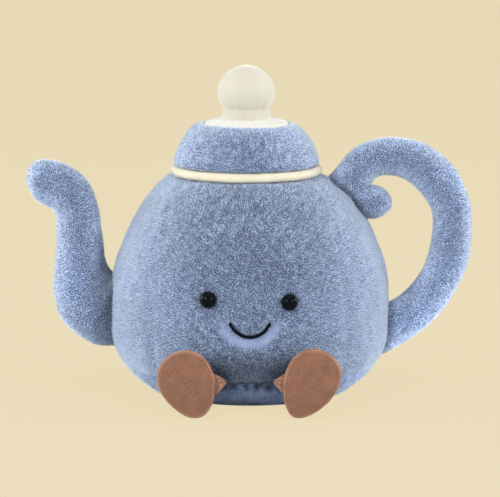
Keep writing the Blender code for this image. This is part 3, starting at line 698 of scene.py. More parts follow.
white_plastic = finish(
    "white_plastic", FINE_GRAIN, {"Color": (236, 236, 232)}, {"Scale": 500.0, "Spread": 0.05},
    roughness=0.4, bump=0.1, bump_depth=0.05 * MM)

# %% [markdown]
# ## Body
# The body is sewn from upright panels. Their seams run from the neck down, and the front panel
# is wide at the neck, so its two seams can just be seen. The outline is two rounded quadrants
# that meet at the belly, as in the solid model. The cloth lies inside it by the height of the
# pile, so that the strands end about on the outline.

# %% Body outline
BASE_RADIUS = 61.7 * MM
BELLY_RADIUS = 89.3 * MM
BELLY_HEIGHT = 56.0 * MM
NECK_RADIUS = 45.5 * MM
NECK_HEIGHT = 138.8 * MM
SEAM_HEIGHT = 15.6 * MM
PILE_HEIGHT = 1.7 * MM
FRONT_PANEL_LOW = 60 * MM           # below it the front panel is evenly wide


def body_radius(height):
    """In mm, below the belly 61.7 + 27.6 (1 - f^3.5), above it 45.5 + 43.8 (1 - s^2)^(1/1.43)."""
    height = np.asarray(height, float)
    fall = np.clip(1 - height / BELLY_HEIGHT, 0, 1)
    rise = np.clip((height - BELLY_HEIGHT) / (NECK_HEIGHT - BELLY_HEIGHT), 0, 1)
    lower = BASE_RADIUS + (BELLY_RADIUS - BASE_RADIUS) * (1 - fall ** 3.5)
    upper = NECK_RADIUS + (BELLY_RADIUS - NECK_RADIUS) * (1 - rise ** 2) ** (1 / 1.43)
    return np.where(height <= BELLY_HEIGHT, lower, upper)


TOP_LEAN = 2.4 * MM
LEAN_START, LEAN_RISE = 122 * MM, 18 * MM


def leaning(grid):
    """Move the neck, lid and knob a little to the left, as the stuffing has settled."""
    share = ramp(grid[..., 2], LEAN_START, LEAN_RISE)
    moved = grid.copy()
    moved[..., 0] -= TOP_LEAN * share ** 2 * (3 - 2 * share)
    return moved


def outline(top, bottom, rows):
    """Points of the body's outline from top to bottom at equal steps of its length."""
    heights = np.linspace(top, bottom, 600)
    return evenly(np.stack([body_radius(heights), heights], axis=1), rows)


def seam_turn(height):
    """Angle of the two front seams from the middle: narrow at the belly, wide at the neck."""
    share = ramp(height, FRONT_PANEL_LOW, NECK_HEIGHT - FRONT_PANEL_LOW)
    return np.radians(43 - 4 * share + 22 * share ** 3)


def seam_distance(points):
    """Distance to the nearest upright seam, from the angle between it and the point."""
    turn = np.arctan2(points[..., 0], -points[..., 1])
    front = seam_turn(points[..., 2])
    seams = [front, -front, np.pi - front, front - np.pi]
    radius = np.hypot(points[..., 0], points[..., 1])
    gaps = [np.abs((turn - seam + np.pi) % (2 * np.pi) - np.pi) * radius for seam in seams]
    return np.min(gaps, axis=0)


EYE_PLACES = np.array([[-25.9, 0, 71.4], [24.5, 0, 70.0]]) * MM
EYE_PLACES[:, 1] = -np.sqrt(body_radius(EYE_PLACES[:, 2]) ** 2 - EYE_PLACES[:, 0] ** 2)


def distance_to(points, line):
    """Shortest distance from each point to the points of a line."""
    flat = points.reshape(-1, 3)
    near = np.full(len(flat), np.inf)
    for place in line:
        near = np.minimum(near, np.linalg.norm(flat - place, axis=1))
    return near.reshape(points.shape[:-1])


SMILE_WIDTH = 24.8 * MM
SMILE_DEPTH = 9.1 * MM
SMILE_LOW = 49.0 * MM
SMILE_REACH = SMILE_WIDTH / 2
SMILE_RADIUS = (SMILE_REACH ** 2 + SMILE_DEPTH ** 2) / (2 * SMILE_DEPTH)


def smile_line(count, lift=0.0):
    """Arc of a circle through the smile's ends and lowest point, laid on the body."""
    sweep = math.atan2(SMILE_REACH, SMILE_RADIUS - SMILE_DEPTH)
    angle = np.linspace(-sweep, sweep, count)
    x = SMILE_RADIUS * np.sin(angle)
    z = SMILE_LOW + SMILE_RADIUS * (1 - np.cos(angle))
    y = -np.sqrt((body_radius(z) + lift) ** 2 - x ** 2)
    return np.stack([x, y, z], axis=1)


SMILE_LINE = smile_line(60)


def pressed_under_smile(points):
    """1 in a crescent outside the smile's circle, from 1.6 to 7.2 mm off it, with soft edges."""
    x, z = points[..., 0], points[..., 2] - SMILE_LOW - SMILE_RADIUS
    outside = np.hypot(x, z) - SMILE_RADIUS
    band = ramp(outside, 0.6 * MM, MM) * fade(outside, 8.8 * MM, 1.6 * MM)
    ends = fade(np.abs(np.arctan2(x, -z)), 1.55, 0.45)
    return band * ends * (points[..., 1] < 0)


# %% Body surface
BODY_ROWS, BODY_SIDES = 110, 224
SEAM_DIP, FRONT_SEAM_DIP = 0.4 * MM, 2.4 * MM
EYE_DIP, SMILE_DIP = 0.7 * MM, 0.5 * MM
SEAM_HALF_WIDTH = 2.4 * MM
SAG_HEIGHT, LEFT_SAG, RIGHT_SAG = 46 * MM, 3.4 * MM, 1.2 * MM
TUFT_PLACE = np.array([50.5, -3, 135.8]) * MM
TUFT_RISE = 1.8 * MM
WIDE_LUMPS, SMALL_LUMPS = 0.45 * MM, 0.25 * MM
FRONT_ANGLE = 1.2


def ahead_of(points):
    """1 in the middle of the front, falling to 0 at the front angle to either side."""
    return np.clip(FRONT_ANGLE - np.abs(np.arctan2(points[..., 0], -points[..., 1])), 0, 1)


grid = turned(outline(NECK_HEIGHT, SEAM_HEIGHT, BODY_ROWS), BODY_SIDES)
near_seam = bell(seam_distance(grid), SEAM_HALF_WIDTH)
dips = SEAM_DIP * near_seam + EYE_DIP * bell(distance_to(grid, EYE_PLACES), 6.5 * MM)
dips += SMILE_DIP * bell(distance_to(grid, SMILE_LINE), 2.2 * MM)
dips += FRONT_SEAM_DIP * ahead_of(grid) * bell(grid[..., 2] - SEAM_HEIGHT, 3.5 * MM)
lumps = WIDE_LUMPS * waves(grid, 42 * MM, 3) + SMALL_LUMPS * waves(grid, 17 * MM, 4)
sag = bell(grid[..., 2] - SAG_HEIGHT, 20 * MM) * (grid[..., 0] / BELLY_RADIUS) ** 6
lumps += sag * np.where(grid[..., 0] < 0, LEFT_SAG, RIGHT_SAG)
lumps += TUFT_RISE * bell(distance_to(grid, TUFT_PLACE[None]), 2.6 * MM)
swollen = stuffed(lifted(grid, -PILE_HEIGHT), near_seam)
body_grid = leaning(lifted(swollen, lumps - dips))
print("body", body_grid.shape)

# %% [markdown]
# ## Base
# A separate round panel closes the bottom. It is pressed smoother than the rest and gathered
# along its seam, so it has soft folds between seam and floor. It lies flat where it stands.

# %% Base panel
SIDE_ROWS, FLAT_ROWS = 26, 14
BASE_SET_IN, GROOVE_DEPTH = 1.2 * MM, 2.6 * MM
FLOOR_GAP = 0.2 * MM

rim = evenly(outline(SEAM_HEIGHT, 0.0, 60), SIDE_ROWS)
flat = np.stack([np.linspace(BASE_RADIUS, 2 * MM, FLAT_ROWS), np.zeros(FLAT_ROWS)], axis=1)
base = turned(np.vstack([rim, flat[1:]]), BODY_SIDES)
turn = np.arctan2(base[..., 0], -base[..., 1])
from_seam = fade(base[..., 2], SEAM_HEIGHT, SEAM_HEIGHT)
folds = 0.55 * np.sin(27 * turn + 2.5 * np.sin(3 * turn)) + 0.45 * np.sin(41 * turn + 1.7)
groove = (0.1 + 0.9 * ahead_of(base)) * bell(from_seam, 0.12)
set_in = BASE_SET_IN * (1 - from_seam ** 8) + GROOVE_DEPTH * groove
fold_height = (0.22 + 0.30 * ahead_of(base)) * MM * np.sin(np.pi * from_seam) ** 0.7
base_grid = lifted(base, fold_height * folds - set_in)
base_grid[..., 2] = np.maximum(base_grid[..., 2], FLOOR_GAP)
print("base", base_grid.shape)

# %% [markdown]
# ## Limbs
# Spout and handle are tubes of changing radius along a smooth curve in the upright plane, and
# the curl is a short nub at the handle's upper root. Their paths follow the solid model's, with
# the roots drawn a little fuller. Sewn-on cloth gathers, so small folds lie near both ends, and
# it hangs slack on the inner side of a sharp bend, so that side is smoothed.

# %% Paths
def smooth_path(stations, steps):
    """Catmull-Rom curve through the stations, as rows of the same numbers."""
    rows = np.array(stations, float)
    rows = np.vstack([2 * rows[0] - rows[1], rows, 2 * rows[-1] - rows[-2]])
    share = (np.arange(steps) / steps)[None, :, None]
    before, start, end, after = (rows[k:len(rows) - 3 + k, None] for k in range(4))
    curve = 0.5 * (2 * start + (end - before) * share
                   + (2 * before - 5 * start + 4 * end - after) * share ** 2
                   + (3 * start - before - 3 * end + after) * share ** 3)
    return np.vstack([curve.reshape(-1, rows.shape[1]), rows[-2]])


def spout_path():
    """Rows of (x, z, radius) from inside the belly up to the rounded tip, in metres."""
    root, tip, wide, slim = 50.5, 134.3, 26.8, 15.0
    belly, out, reach = 89.3, 20.1, 25.9
    axis, rise = belly + out, tip - root
    rows = smooth_path([
        (belly - 1.24 * out, root - 9.5, 0.84 * wide),
        (belly - 0.40 * out, root - 1.0, 0.91 * wide),
        (belly + 0.45 * out, root + 0.045 * rise, wide + 0.2),
        (belly + 0.85 * out, root + 0.19 * rise, 0.56 * wide + 0.44 * slim),
        (axis, root + 0.40 * rise, 0.11 * wide + 0.89 * slim),
        (axis, root + 0.61 * rise, slim + 0.2),
        (axis + 0.08 * reach, root + 0.81 * rise, slim - 0.2),
        (axis + 0.46 * reach, root + 0.96 * rise, slim + 0.5),
        (axis + reach, tip, 15.4),
    ], 8)
    rows = rows[:-2]
    angle = np.radians(np.linspace(8, 86, 14))
    end = rows[-1]
    tip_rows = np.stack([end[0] + 11.6 * np.sin(angle), end[1] - 1.2 * np.sin(angle),
                         end[2] * np.cos(angle)], axis=1)
    rows = np.vstack([rows, tip_rows]) * MM
    rows[:, 0] *= -1
    return rows


def handle_path():
    """Rows of (x, z, radius) from the shoulder over the top and down to the lower root."""
    top, rise, belly, reach, thick = 149.3, 109.8, 89.3, 40.5, 13.6
    start = float(body_radius(129.0 * MM)) / MM
    return smooth_path([
        (start - 10.5, 122.5, thick - 2.0),
        (start + 4.0, 132.9, thick - 0.3),
        (belly - 0.37 * reach, top - 2.8, thick - 0.6),
        (belly + 0.06 * reach, top, thick - 0.4),
        (belly + 0.41 * reach, top - 0.033 * rise, thick + 0.4),
        (belly + 0.73 * reach, top - 0.130 * rise, thick + 0.4),
        (belly + 0.96 * reach, top - 0.277 * rise, thick - 0.1),
        (belly + reach, top - 0.427 * rise, thick - 0.1),
        (belly + 0.92 * reach, top - 0.618 * rise, thick + 0.2),
        (belly + 0.76 * reach, top - 0.752 * rise, thick - 0.2),
        (belly + 0.44 * reach, top - 0.900 * rise, thick + 0.2),
        (belly + 0.02 * reach, 39.5, 15.2),
        (belly - 0.30 * reach, 33.5, 15.7),
    ], 10) * MM


def curl_path():
    """Rows of (x, z, radius) of a half egg: centre + half sin a along, radius cos a."""
    start = float(body_radius(120.8 * MM))
    long_half = 16.8 * MM
    angle = np.radians(np.linspace(-80, 86, 26))
    along = start + 23.6 * MM - long_half + long_half * np.sin(angle)
    return np.stack([along, 0 * along + 120.0 * MM, 12.7 * MM * np.cos(angle)], axis=1)


def limb_grid(path, sides, rows):
    """Tube along rows of (x, z, radius), evenly spaced along the curve."""
    path = evenly(path, rows)
    along = unit(np.gradient(path[:, :2], axis=0))
    return tube_of_rings(path[:, :2], path[:, 2], along, sides)


# %% Limb surfaces
LIMB_CAP = 0.5 * MM
LIMB_FOLDS = 0.35 * MM
PATH_PASSES, BEND_PASSES = 24, 120
BEND_WIDTH = 0.11                   # share of the limb's length
LIMBS = {                           # path, sides, rows, lumps, inner bend's place and direction
    "spout": (spout_path(), 72, 120, 0.45 * MM, 0.25, (0.35, 0, 0.94)),
    "handle": (handle_path(), 64, 190, 0.40 * MM, 0.15, (0.5, 0, -0.87)),
    "curl": (curl_path(), 56, 40, 0.25 * MM, 0.5, (0, 0, 0)),
}


def wrinkled(grid, seed, amount):
    """Lumps of stuffing, plus fine folds across the limb near both of its ends."""
    v = np.linspace(0, 1, len(grid))[:, None]
    ends = bell(v - 0.06, 0.10) + bell(v - 0.93, 0.07)
    folds = LIMB_FOLDS * ends * waves(grid, 9 * MM, seed + 5)
    return amount * waves(grid, 26 * MM, seed) + folds


def eased(grid):
    """Average each ring with its neighbours, less towards the tip, so that none is kinked."""
    v = np.linspace(0, 1, len(grid))[1:-1, None, None]
    ease = np.clip((0.95 - v) / 0.10, 0.2, 1)
    for _ in range(PATH_PASSES):
        grid[1:-1] += ease * (grid[:-2] - 2 * grid[1:-1] + grid[2:]) / 4
    return grid


def slack(grid, bend, inward):
    """Average each point on the inner side of a bend with the four points round it."""
    v = np.linspace(0, 1, len(grid))[1:-1, None, None]
    facing = (grid - grid.mean(axis=1, keepdims=True)) @ np.array(inward) / (12 * MM)
    inner = np.clip(facing[1:-1, :, None] + 0.2, 0, 1) * bell(v - bend, BEND_WIDTH)
    for _ in range(BEND_PASSES):
        near = (grid[:-2] + grid[2:] + np.roll(grid, 1, axis=1)[1:-1]
                + np.roll(grid, -1, axis=1)[1:-1])
        grid[1:-1] += inner * (near - 4 * grid[1:-1]) / 8
    return grid


limbs = {}
for name, (path, sides, rows, amount, bend, inward) in LIMBS.items():
    grid = eased(lifted(limb_grid(path, sides, rows), -PILE_HEIGHT))
    seams = np.zeros(grid.shape[:2])
    seams[:, [0, sides // 2]] = 0.8
    grid = slack(stuffed(grid, seams, LIMB_CAP, rows=min(rows, 60), sides=32), bend, inward)
    limbs[name] = lifted(grid, wrinkled(grid, len(limbs) * 20 + 11, amount))
    print(name, grid.shape)

# %% [markdown]
# ## Lid, its top and the piping
# The lid is a low blue dome with a rounded lower edge. A cream cord of covered piping is sewn
# between lid and pot, and a cream disc closes the lid's top round the knob.

# %% Lid, disc and piping
LID_RADIUS = 46.3 * MM
LID_TOP_RADIUS = 26.8 * MM
LID_BOTTOM = 143.2 * MM
LID_BULGE = 146.0 * MM
LID_TOP = 170.9 * MM
LID_CAP = 0.6 * MM
SKIRT_DROP = 2.8 * MM
UNDER_ROWS = 8
SHOULDER_DROP = 1.6 * MM            # the right shoulder lies this much lower
DISC_RADIUS = 26.5 * MM
DISC_HEIGHT, DISC_CROWN = 171.0 * MM, 7.5 * MM
PIPING_RING = 45.2 * MM
PIPING_HEIGHT = 141.0 * MM
PIPING_RADIUS = 2.7 * MM

rise = np.cos(np.linspace(0, np.pi / 2, 200)) ** 0.8
share = (1 - rise ** 1.3) ** (1 / 2.1)
dome = np.stack([LID_TOP_RADIUS + (LID_RADIUS - LID_TOP_RADIUS) * share,
                 LID_BULGE + (LID_TOP - LID_BULGE) * rise], axis=1)
fall = np.linspace(0, 1, 20)[1:]
skirt = np.stack([LID_RADIUS - 1.0 * MM * fall ** 2, LID_BULGE - SKIRT_DROP * fall], axis=1)
under = np.linspace(45.0, 38.0, UNDER_ROWS)
under = np.stack([under, 0 * under + LID_BOTTOM / MM], axis=1) * MM
lid = turned(evenly(np.vstack([dome, skirt, under]), 76), 176)
hold = np.zeros(lid.shape[:2])
hold[[0, -UNDER_ROWS]] = 1
lid_lumps = 0.35 * MM * waves(lid, 30 * MM, 31)
lid_lumps -= (SHOULDER_DROP * np.clip(lid[..., 0] / LID_RADIUS, 0, 1) ** 2
              * ramp(lid[..., 2], 154 * MM, 12 * MM))
lid_grid = stuffed(lifted(lid, -1.2 * MM), hold, LID_CAP, rows=28, sides=72)
lid_grid = leaning(lifted(lid_grid, lid_lumps))
# Zero marks paint the cloth under the pile dark: painted shade between the strands.
skin("lid_plush", lid_grid, blue_plush, np.zeros(lid_grid.shape))

radius = np.linspace(1 * MM, DISC_RADIUS, 30)
crown = DISC_HEIGHT + DISC_CROWN * (1 - radius / DISC_RADIUS)
edge = np.array([[26.5, 170.0], [26.0, 168.8], [13.2, 168.6]]) * MM
disc = turned(evenly(np.vstack([np.stack([radius, crown], axis=1), edge]), 44), 120)
disc_grid = leaning(lifted(disc, -0.5 * MM + 0.2 * MM * waves(disc, 12 * MM, 33)))
skin("lid_top_plush", disc_grid, cream_plush, np.zeros(disc_grid.shape))


def ring_piece(name, section, sides, material, ripple):
    """Closed ring: a round section turned round Z, whose radius ripples over the cord inside."""
    grid = turned(section, sides)
    middle = turned(np.repeat(section.mean(axis=0)[None], len(section), axis=0), sides)
    grid = leaning(middle + (grid - middle) * (1 + ripple * waves(grid, 7 * MM, 35))[..., None])
    index = np.arange(len(section) * sides).reshape(-1, sides)
    after = np.roll(index, -1, axis=1)
    above, above_after = np.roll(index, -1, axis=0), np.roll(after, -1, axis=0)
    quads = np.stack([index, after, above_after, above], axis=2)
    starts = np.arange(index.size) * 4
    piece = make_piece(name, grid.reshape(-1, 3), quads.ravel(), starts, material)
    set_marks(piece, np.zeros((index.size, 3)))
    return grid


around = np.linspace(0, 2 * np.pi, 25)[:-1]
ring = np.stack([PIPING_RING + PIPING_RADIUS * np.cos(around),
                 PIPING_HEIGHT + PIPING_RADIUS * np.sin(around)], axis=1)
piping_grid = ring_piece("piping_cloth", ring, 400, cream_piping, 0.05)
print("lid", lid_grid.shape, "disc", disc_grid.shape, "piping", piping_grid.shape)

# %% [markdown]
# ## Knob
# The knob is a ball of smooth cream velour on a short neck, gathered where the two meet. The
# gathers are fine upright puckers: a sine round the knob that is strong at the crease and
# gone at the crown.

# %% Knob
KNOB_SIDES, KNOB_ROWS = 240, 120
KNOB_RADIUS, KNOB_HALF_HEIGHT = 18.8 * MM, 17.6 * MM
KNOB_CAP = 0.5 * MM
CREASE_HEIGHT, CREASE_RADIUS, CREASE_DEPTH = 180.4 * MM, 15.5 * MM, 0.35 * MM
NECK_DROP, NECK_SPREAD = 8.0 * MM, 2.0 * MM
PUCKER_HEIGHT = 0.13 * MM
PROFILE_PASSES = 14

drop = math.acos(CREASE_RADIUS / KNOB_RADIUS)
angle = np.linspace(np.pi / 2, -drop, 200)
height = CREASE_HEIGHT + KNOB_HALF_HEIGHT * math.sin(drop) + KNOB_HALF_HEIGHT * np.sin(angle)
ball = np.stack([KNOB_RADIUS * np.cos(angle), height], axis=1)
fall = np.linspace(0, 1, 60)[1:]
neck = np.stack([CREASE_RADIUS + NECK_SPREAD * fall ** 2,
                 CREASE_HEIGHT - NECK_DROP * fall], axis=1)
profile = evenly(np.vstack([ball, neck]), KNOB_ROWS)
for _ in range(PROFILE_PASSES):
    profile[1:-1] = (profile[:-2] + 2 * profile[1:-1] + profile[2:]) / 4
profile[0, 0] = 0.3 * MM
knob = turned(profile, KNOB_SIDES)
turn = np.arctan2(knob[..., 0], -knob[..., 1])
above = np.clip((knob[..., 2] - CREASE_HEIGHT) / (22 * MM), -1, 1)
gather = np.where(above >= 0, np.exp(-above / 0.30), np.exp(above / 0.12))
puckers = np.sin(26 * turn + 2 * np.sin(5 * turn)) + 0.6 * np.sin(43 * turn + 1.1)
crease = CREASE_DEPTH * bell(knob[..., 2] - CREASE_HEIGHT, 0.7 * MM)
knob_grid = stuffed(lifted(knob, -0.5 * MM), bell(above, 0.08), KNOB_CAP, rows=40, sides=64)
puckers = PUCKER_HEIGHT * gather * puckers
knob_grid = leaning(lifted(knob_grid, puckers - crease + 0.2 * MM * waves(knob, 15 * MM, 41)))
skin("knob_velour", knob_grid, cream_knob)
print("knob", knob_grid.shape)

# %% [markdown]
# ## Loose fibre
# Under each cover lies loose polyester fibre. It follows the cover at the thickness of the
# cloth and is never seen, so a coarse copy of the cover's rings, made smaller, is enough.

# %% Fibre under the covers
FIBRE_DEPTH = 2.6 * MM


def fibre(name, grid, first=2, last=-2):
    """Every second row and column of a cover's grid, each ring shrunk about its own middle."""
    rings = grid[first:last:2, ::2]
    middle = rings.mean(axis=1, keepdims=True)
    radius = np.linalg.norm(rings - middle, axis=2).mean(axis=1)[:, None, None]
    smaller = middle + (rings - middle) * np.clip(1 - FIBRE_DEPTH / radius, 0.2, 1)
    return skin(name, smaller, white_fibre)


fibre("body_fibre", body_grid)
fibre("lid_fibre", lid_grid, 2, -12)
fibre("knob_fibre", knob_grid, 14, -2)
for name, grid in limbs.items():
    fibre(f"{name}_fibre", grid, 2, -5)

# %% [markdown]
# ## Pile on the blue and cream cloth
# The strands are set after all shapes are final. None grows where another piece is sewn on,
# where an eye or the smile lies, or inside the body. Under the smile the pile is pressed flat
# and painted paler: a painted sheen of the flattened fibres.

# %% Where the pile grows
ROOT_MARGIN = 2.5 * MM              # body strands go on this far inside a limb
EYE_BARE, SMILE_BARE, LEG_BARE, NECK_BARE = 6.0 * MM, 2.1 * MM, 0.9 * MM, 1.2 * MM
BASE_LEG_BARE = 2.5 * MM            # bare round the legs on the base panel
BODY_MARGIN, LID_MARGIN = 2.2 * MM, 1.0 * MM
LEG_ROOTS = np.array([[-15.3, -84.4, 20.1], [15.3, -84.4, 20.1]]) * MM


def inside_limbs(points):
    """True where a point lies deeper than the margin inside the balls along a limb's path."""
    result = np.zeros(len(points), bool)
    for path, *_ in LIMBS.values():
        for x, z, radius in path:
            result |= np.linalg.norm(points - (x, 0, z), axis=1) < radius - ROOT_MARGIN
    return result


def keep_on_body(points):
    """Bare under the limbs' roots and the piping, the eyes, the smile's thread and the legs."""
    bare = inside_limbs(points) | (points[:, 2] > NECK_HEIGHT - NECK_BARE)
    for places, reach in ((EYE_PLACES, EYE_BARE), (SMILE_LINE, SMILE_BARE), (LEG_ROOTS, LEG_BARE)):
        bare |= distance_to(points, places) < reach
    return ~bare


def keep_on_limb(points):
    """Bare inside the body and inside the lid."""
    radius = np.hypot(points[:, 0] + TOP_LEAN / 2, points[:, 1])
    inside = (points[:, 2] < NECK_HEIGHT) & (radius < body_radius(points[:, 2]) - BODY_MARGIN)
    inside |= (points[:, 2] >= NECK_HEIGHT) & (radius < LID_RADIUS - LID_MARGIN)
    return ~inside


def quarters(points):
    """Four quarters of the body, as four pieces of pile."""
    front, left = points[:, 1] < 0, points[:, 0] < 0
    return [front & left, front & ~left, ~front & left, ~front & ~left]


# %% Light and dark in the pile
# The light and dark here are painted light and shade, kept in the marks of pile and cloth.
def front_strip(points, reach, soft):
    """1 along the middle of the front, falling softly to 0 at the reach, and 0 behind."""
    return fade(np.abs(points[:, 0]), reach, soft) * (points[:, 1] < 0)


def body_shade(points):
    """Painted shade high on the front panel, round the eyes, at the base seam in front, low in
    front and round the legs; darker along the seams high up; painted light low on the sides.
    """
    turn = np.arctan2(points[:, 0], -points[:, 1])
    inside = np.clip((seam_turn(points[:, 2]) - np.abs(turn)) / 0.16 + 0.5, 0, 1)
    shoulder = ramp(points[:, 2], 60 * MM, 35 * MM)
    # Painted shade: the front panel is darker from the shoulder up.
    shade = 0.97 - 0.17 * inside * shoulder
    shade *= 1 - 0.10 * bell(seam_distance(points), 1.3 * MM) * shoulder
    # Painted shade in the dip round each eye.
    shade *= 1 - 0.22 * bell(distance_to(points, EYE_PLACES) - 6 * MM, 2 * MM)
    # Painted shade along the seam over the base, in front.
    base_seam = bell(points[:, 2] - SEAM_HEIGHT, 4.2 * MM)
    shade *= 1 - 0.9 * front_strip(points, 36 * MM, 10 * MM) * base_seam
    # Painted shade low in front between the feet, painted light low on the sides.
    low = fade(points[:, 2], 44 * MM, 15 * MM)
    front = front_strip(points, 34 * MM, 14 * MM)
    # Painted shadow round the legs' roots.
    near_leg = bell(distance_to(points, LEG_ROOTS), 5 * MM)
    return shade * (1 - 0.62 * low * front + 0.12 * low * (1 - front)) * (1 - 0.75 * near_leg)


def base_shade(points):
    """Painted shade in notches along the front seam, where the cloth is gathered, over the front
    and round the legs; painted light on the sides.
    """
    # Painted shade in the gathers of the seam.
    deep = np.clip(0.55 + 0.4 * waves(points, 4.5 * MM, 61), 0.1, 0.95)
    notches = deep * bell(SEAM_HEIGHT - points[:, 2], 3.2 * MM)
    # Painted light on the sides, painted shade in front.
    light = 1.22 - front_strip(points, 36 * MM, 10 * MM) * (0.44 + 0.74 * notches)
    # Painted shadow round the legs.
    return light * (1 - 0.65 * bell(distance_to(points, LEG_ROOTS), 6 * MM))


def limb_shade(points):
    """Painted shade beside the pot, further out on the spout; painted light over the whole limb
    and more low on the handle.
    """
    radius = np.hypot(points[:, 0], points[:, 1])
    gap = radius - body_radius(np.clip(points[:, 2], 0, NECK_HEIGHT))
    right = points[:, 0] > 0
    # Painted light: lighter all over, and more low on the handle.
    light = 1.18 + np.where(right, 0.75, 0.0) * fade(points[:, 2], 90 * MM, 50 * MM)
    # Painted shade beside the pot.
    reach = np.where(right, 3.6 * MM, 11 * MM)
    return light * (1 - np.where(right, 0.5, 0.56) * bell(np.maximum(gap, 0), reach))


def contrast_on_body(points):
    """Grain is strongest on the face and weakest on the sides, where its contrast is painted down
    as the side light washes it out.
    """
    return 1.25 - 0.78 * ramp(np.abs(points[:, 0]), 22 * MM, 36 * MM)


def contrast_on_limb(points):
    """Spout and handle are a little smoother than the face."""
    return np.where(points[:, 0] > 0, 0.78, 0.88)


# %% Cloth under the pile
def ground(name, grid, material, shade, flat=0.0):
    """The cloth under a pile, painted dark as shade between the strands, painted paler where they
    are pressed flat, and with its pile's painted light and shade.
    """
    light = shade(grid.reshape(-1, 3)).reshape(grid.shape[:2])
    flat = flat + np.zeros(grid.shape[:2])
    return skin(name, grid, material, np.stack([0.15 * flat, 0.4 * flat, 0 * flat, light], axis=2))


ground("body_plush", body_grid, blue_plush, body_shade, pressed_under_smile(body_grid))
ground("base_plush", base_grid, blue_base, base_shade)
for name, grid in limbs.items():
    ground(f"{name}_plush", grid, blue_plush, limb_shade)

# %% Strands
BLUE_PILE = dict(spacing=0.58 * MM, length=1.45 * MM, width=0.62 * MM, lean=0.42)
blue_piles = pile("body_pile", body_grid, blue_plush, keep=keep_on_body,
                  press=pressed_under_smile, shade=body_shade, vary=contrast_on_body,
                  seed=2, split=quarters, **BLUE_PILE)
for number, name in enumerate(limbs):
    blue_piles += pile(f"{name}_pile", limbs[name], blue_plush, keep=keep_on_limb,
                       shade=limb_shade, vary=contrast_on_limb, seed=20 + number, **BLUE_PILE)
blue_piles += pile("lid_pile", lid_grid[2:-UNDER_ROWS], blue_plush, seed=3, **BLUE_PILE)
[base_pile] = pile("base_pile", base_grid[:SIDE_ROWS - 2], blue_base, spacing=0.7 * MM,
                   length=1.5 * MM, width=0.65 * MM, lean=0.9, seed=4, shade=base_shade,
                   keep=lambda points: distance_to(points, LEG_ROOTS) > BASE_LEG_BARE)
[disc_pile] = pile("lid_top_pile", disc_grid[:34], cream_plush, spacing=0.65 * MM,
                   length=1.3 * MM, width=0.80 * MM, lean=0.5, seed=5)
[piping_pile] = pile("piping_pile", piping_grid, cream_piping, spacing=0.7 * MM,
                     length=0.8 * MM, width=0.6 * MM, lean=0.9, seed=6)

# %% [markdown]
# ## Eyes and smile
# The eyes are glossy black beads: a dome over a thin turned-in edge. The smile is one thick
# thread of close stitches along an arc, so its section is round and its surface is wound.

# %% Eyes
EYE_RADIUS = 5.15 * MM
EYE_DOME = 4.7 * MM
EYE_LIFT, EYE_SUNK = 1.0 * MM, 1.6 * MM
EYE_EDGE = np.array([[4.85, 0.5], [4.3, 0.3], [1.2, 0.3], [1.2, -4.8]]) * MM


def body_normal(point):
    """Outward normal of the body at a point: the slope of its outline, turned to the point."""
    step = 0.5 * MM
    slope = (body_radius(point[2] + step) - body_radius(point[2] - step)) / (2 * step)
    radius = math.hypot(point[0], point[1])
    return unit(np.array([point[0] / radius, point[1] / radius, -float(slope)]))


def axes_of(normal):
    """Two directions square to a normal and to each other."""
    side = unit(np.cross([0, 0, 1.0], normal))
    return side, np.cross(normal, side)


def eye_piece(name, place):
    """Dome (r cos a, dome sin a) over a rounded edge, turned round the body's normal."""
    normal = body_normal(place)
    place = place - EYE_SUNK * normal
    side, up = axes_of(normal)
    angle = np.linspace(np.pi / 2 - 0.02, 0, 26)
    dome = np.stack([EYE_RADIUS * np.cos(angle), EYE_LIFT + EYE_DOME * np.sin(angle)], axis=1)
    profile = np.vstack([dome, EYE_EDGE])
    turn = np.linspace(0, 2 * np.pi, 64, endpoint=False)
    grid = (place + profile[:, 1, None, None] * normal
            + profile[:, 0, None, None] * (np.cos(turn)[None, :, None] * side
                                           + np.sin(turn)[None, :, None] * up))
    return skin(name, grid, bead_black)


eyes = [eye_piece("bead_eye_left", EYE_PLACES[0]), eye_piece("bead_eye_right", EYE_PLACES[1])]

# %% Smile
THREAD_RADIUS = 1.05 * MM
THREAD_PITCH, THREAD_TWIST = 1.1 * MM, 0.12


def thread_along(name, line, radius, material, ups, pitch, depth, sides=18):
    """Tube along a line of points, whose radius waves with a slanting twist at the given pitch."""
    along = unit(np.gradient(line, axis=0))
    across = unit(np.cross(along, ups))
    rise = np.cross(across, along)
    turn = np.linspace(0, 2 * np.pi, sides, endpoint=False)
    length = length_along(line)
    twist = np.cos(2 * np.pi * length[:, None] / pitch - turn[None, :])
    ends = np.minimum(length, length[-1] - length)
    taper = np.sqrt(np.clip(1 - (1 - np.clip(ends / (1.2 * radius), 0, 1)) ** 2, 0.02, 1))
    size = radius * taper[:, None] * (1 - depth + depth * twist)
    grid = (line[:, None] + (size * np.cos(turn))[..., None] * across[:, None]
            + (size * np.sin(turn))[..., None] * rise[:, None])
    return skin(name, grid, material)


line = smile_line(150, -0.2 * MM)
ups = np.array([body_normal(point) for point in line])
smile = thread_along("smile_stitches", line, THREAD_RADIUS, smile_thread, ups,
                     THREAD_PITCH, THREAD_TWIST)

# %% [markdown]
# ## Feet
# Each foot is a small stuffed bag of needlecord: an egg-shaped sole that faces the front, and
# an upper gathered round the ankle. The cord's ridges run along the sole. On the upper they run
# from the rim to the ankle and draw together there. A pale stitched seam joins the two, and a
# short pleated leg joins foot and pot.

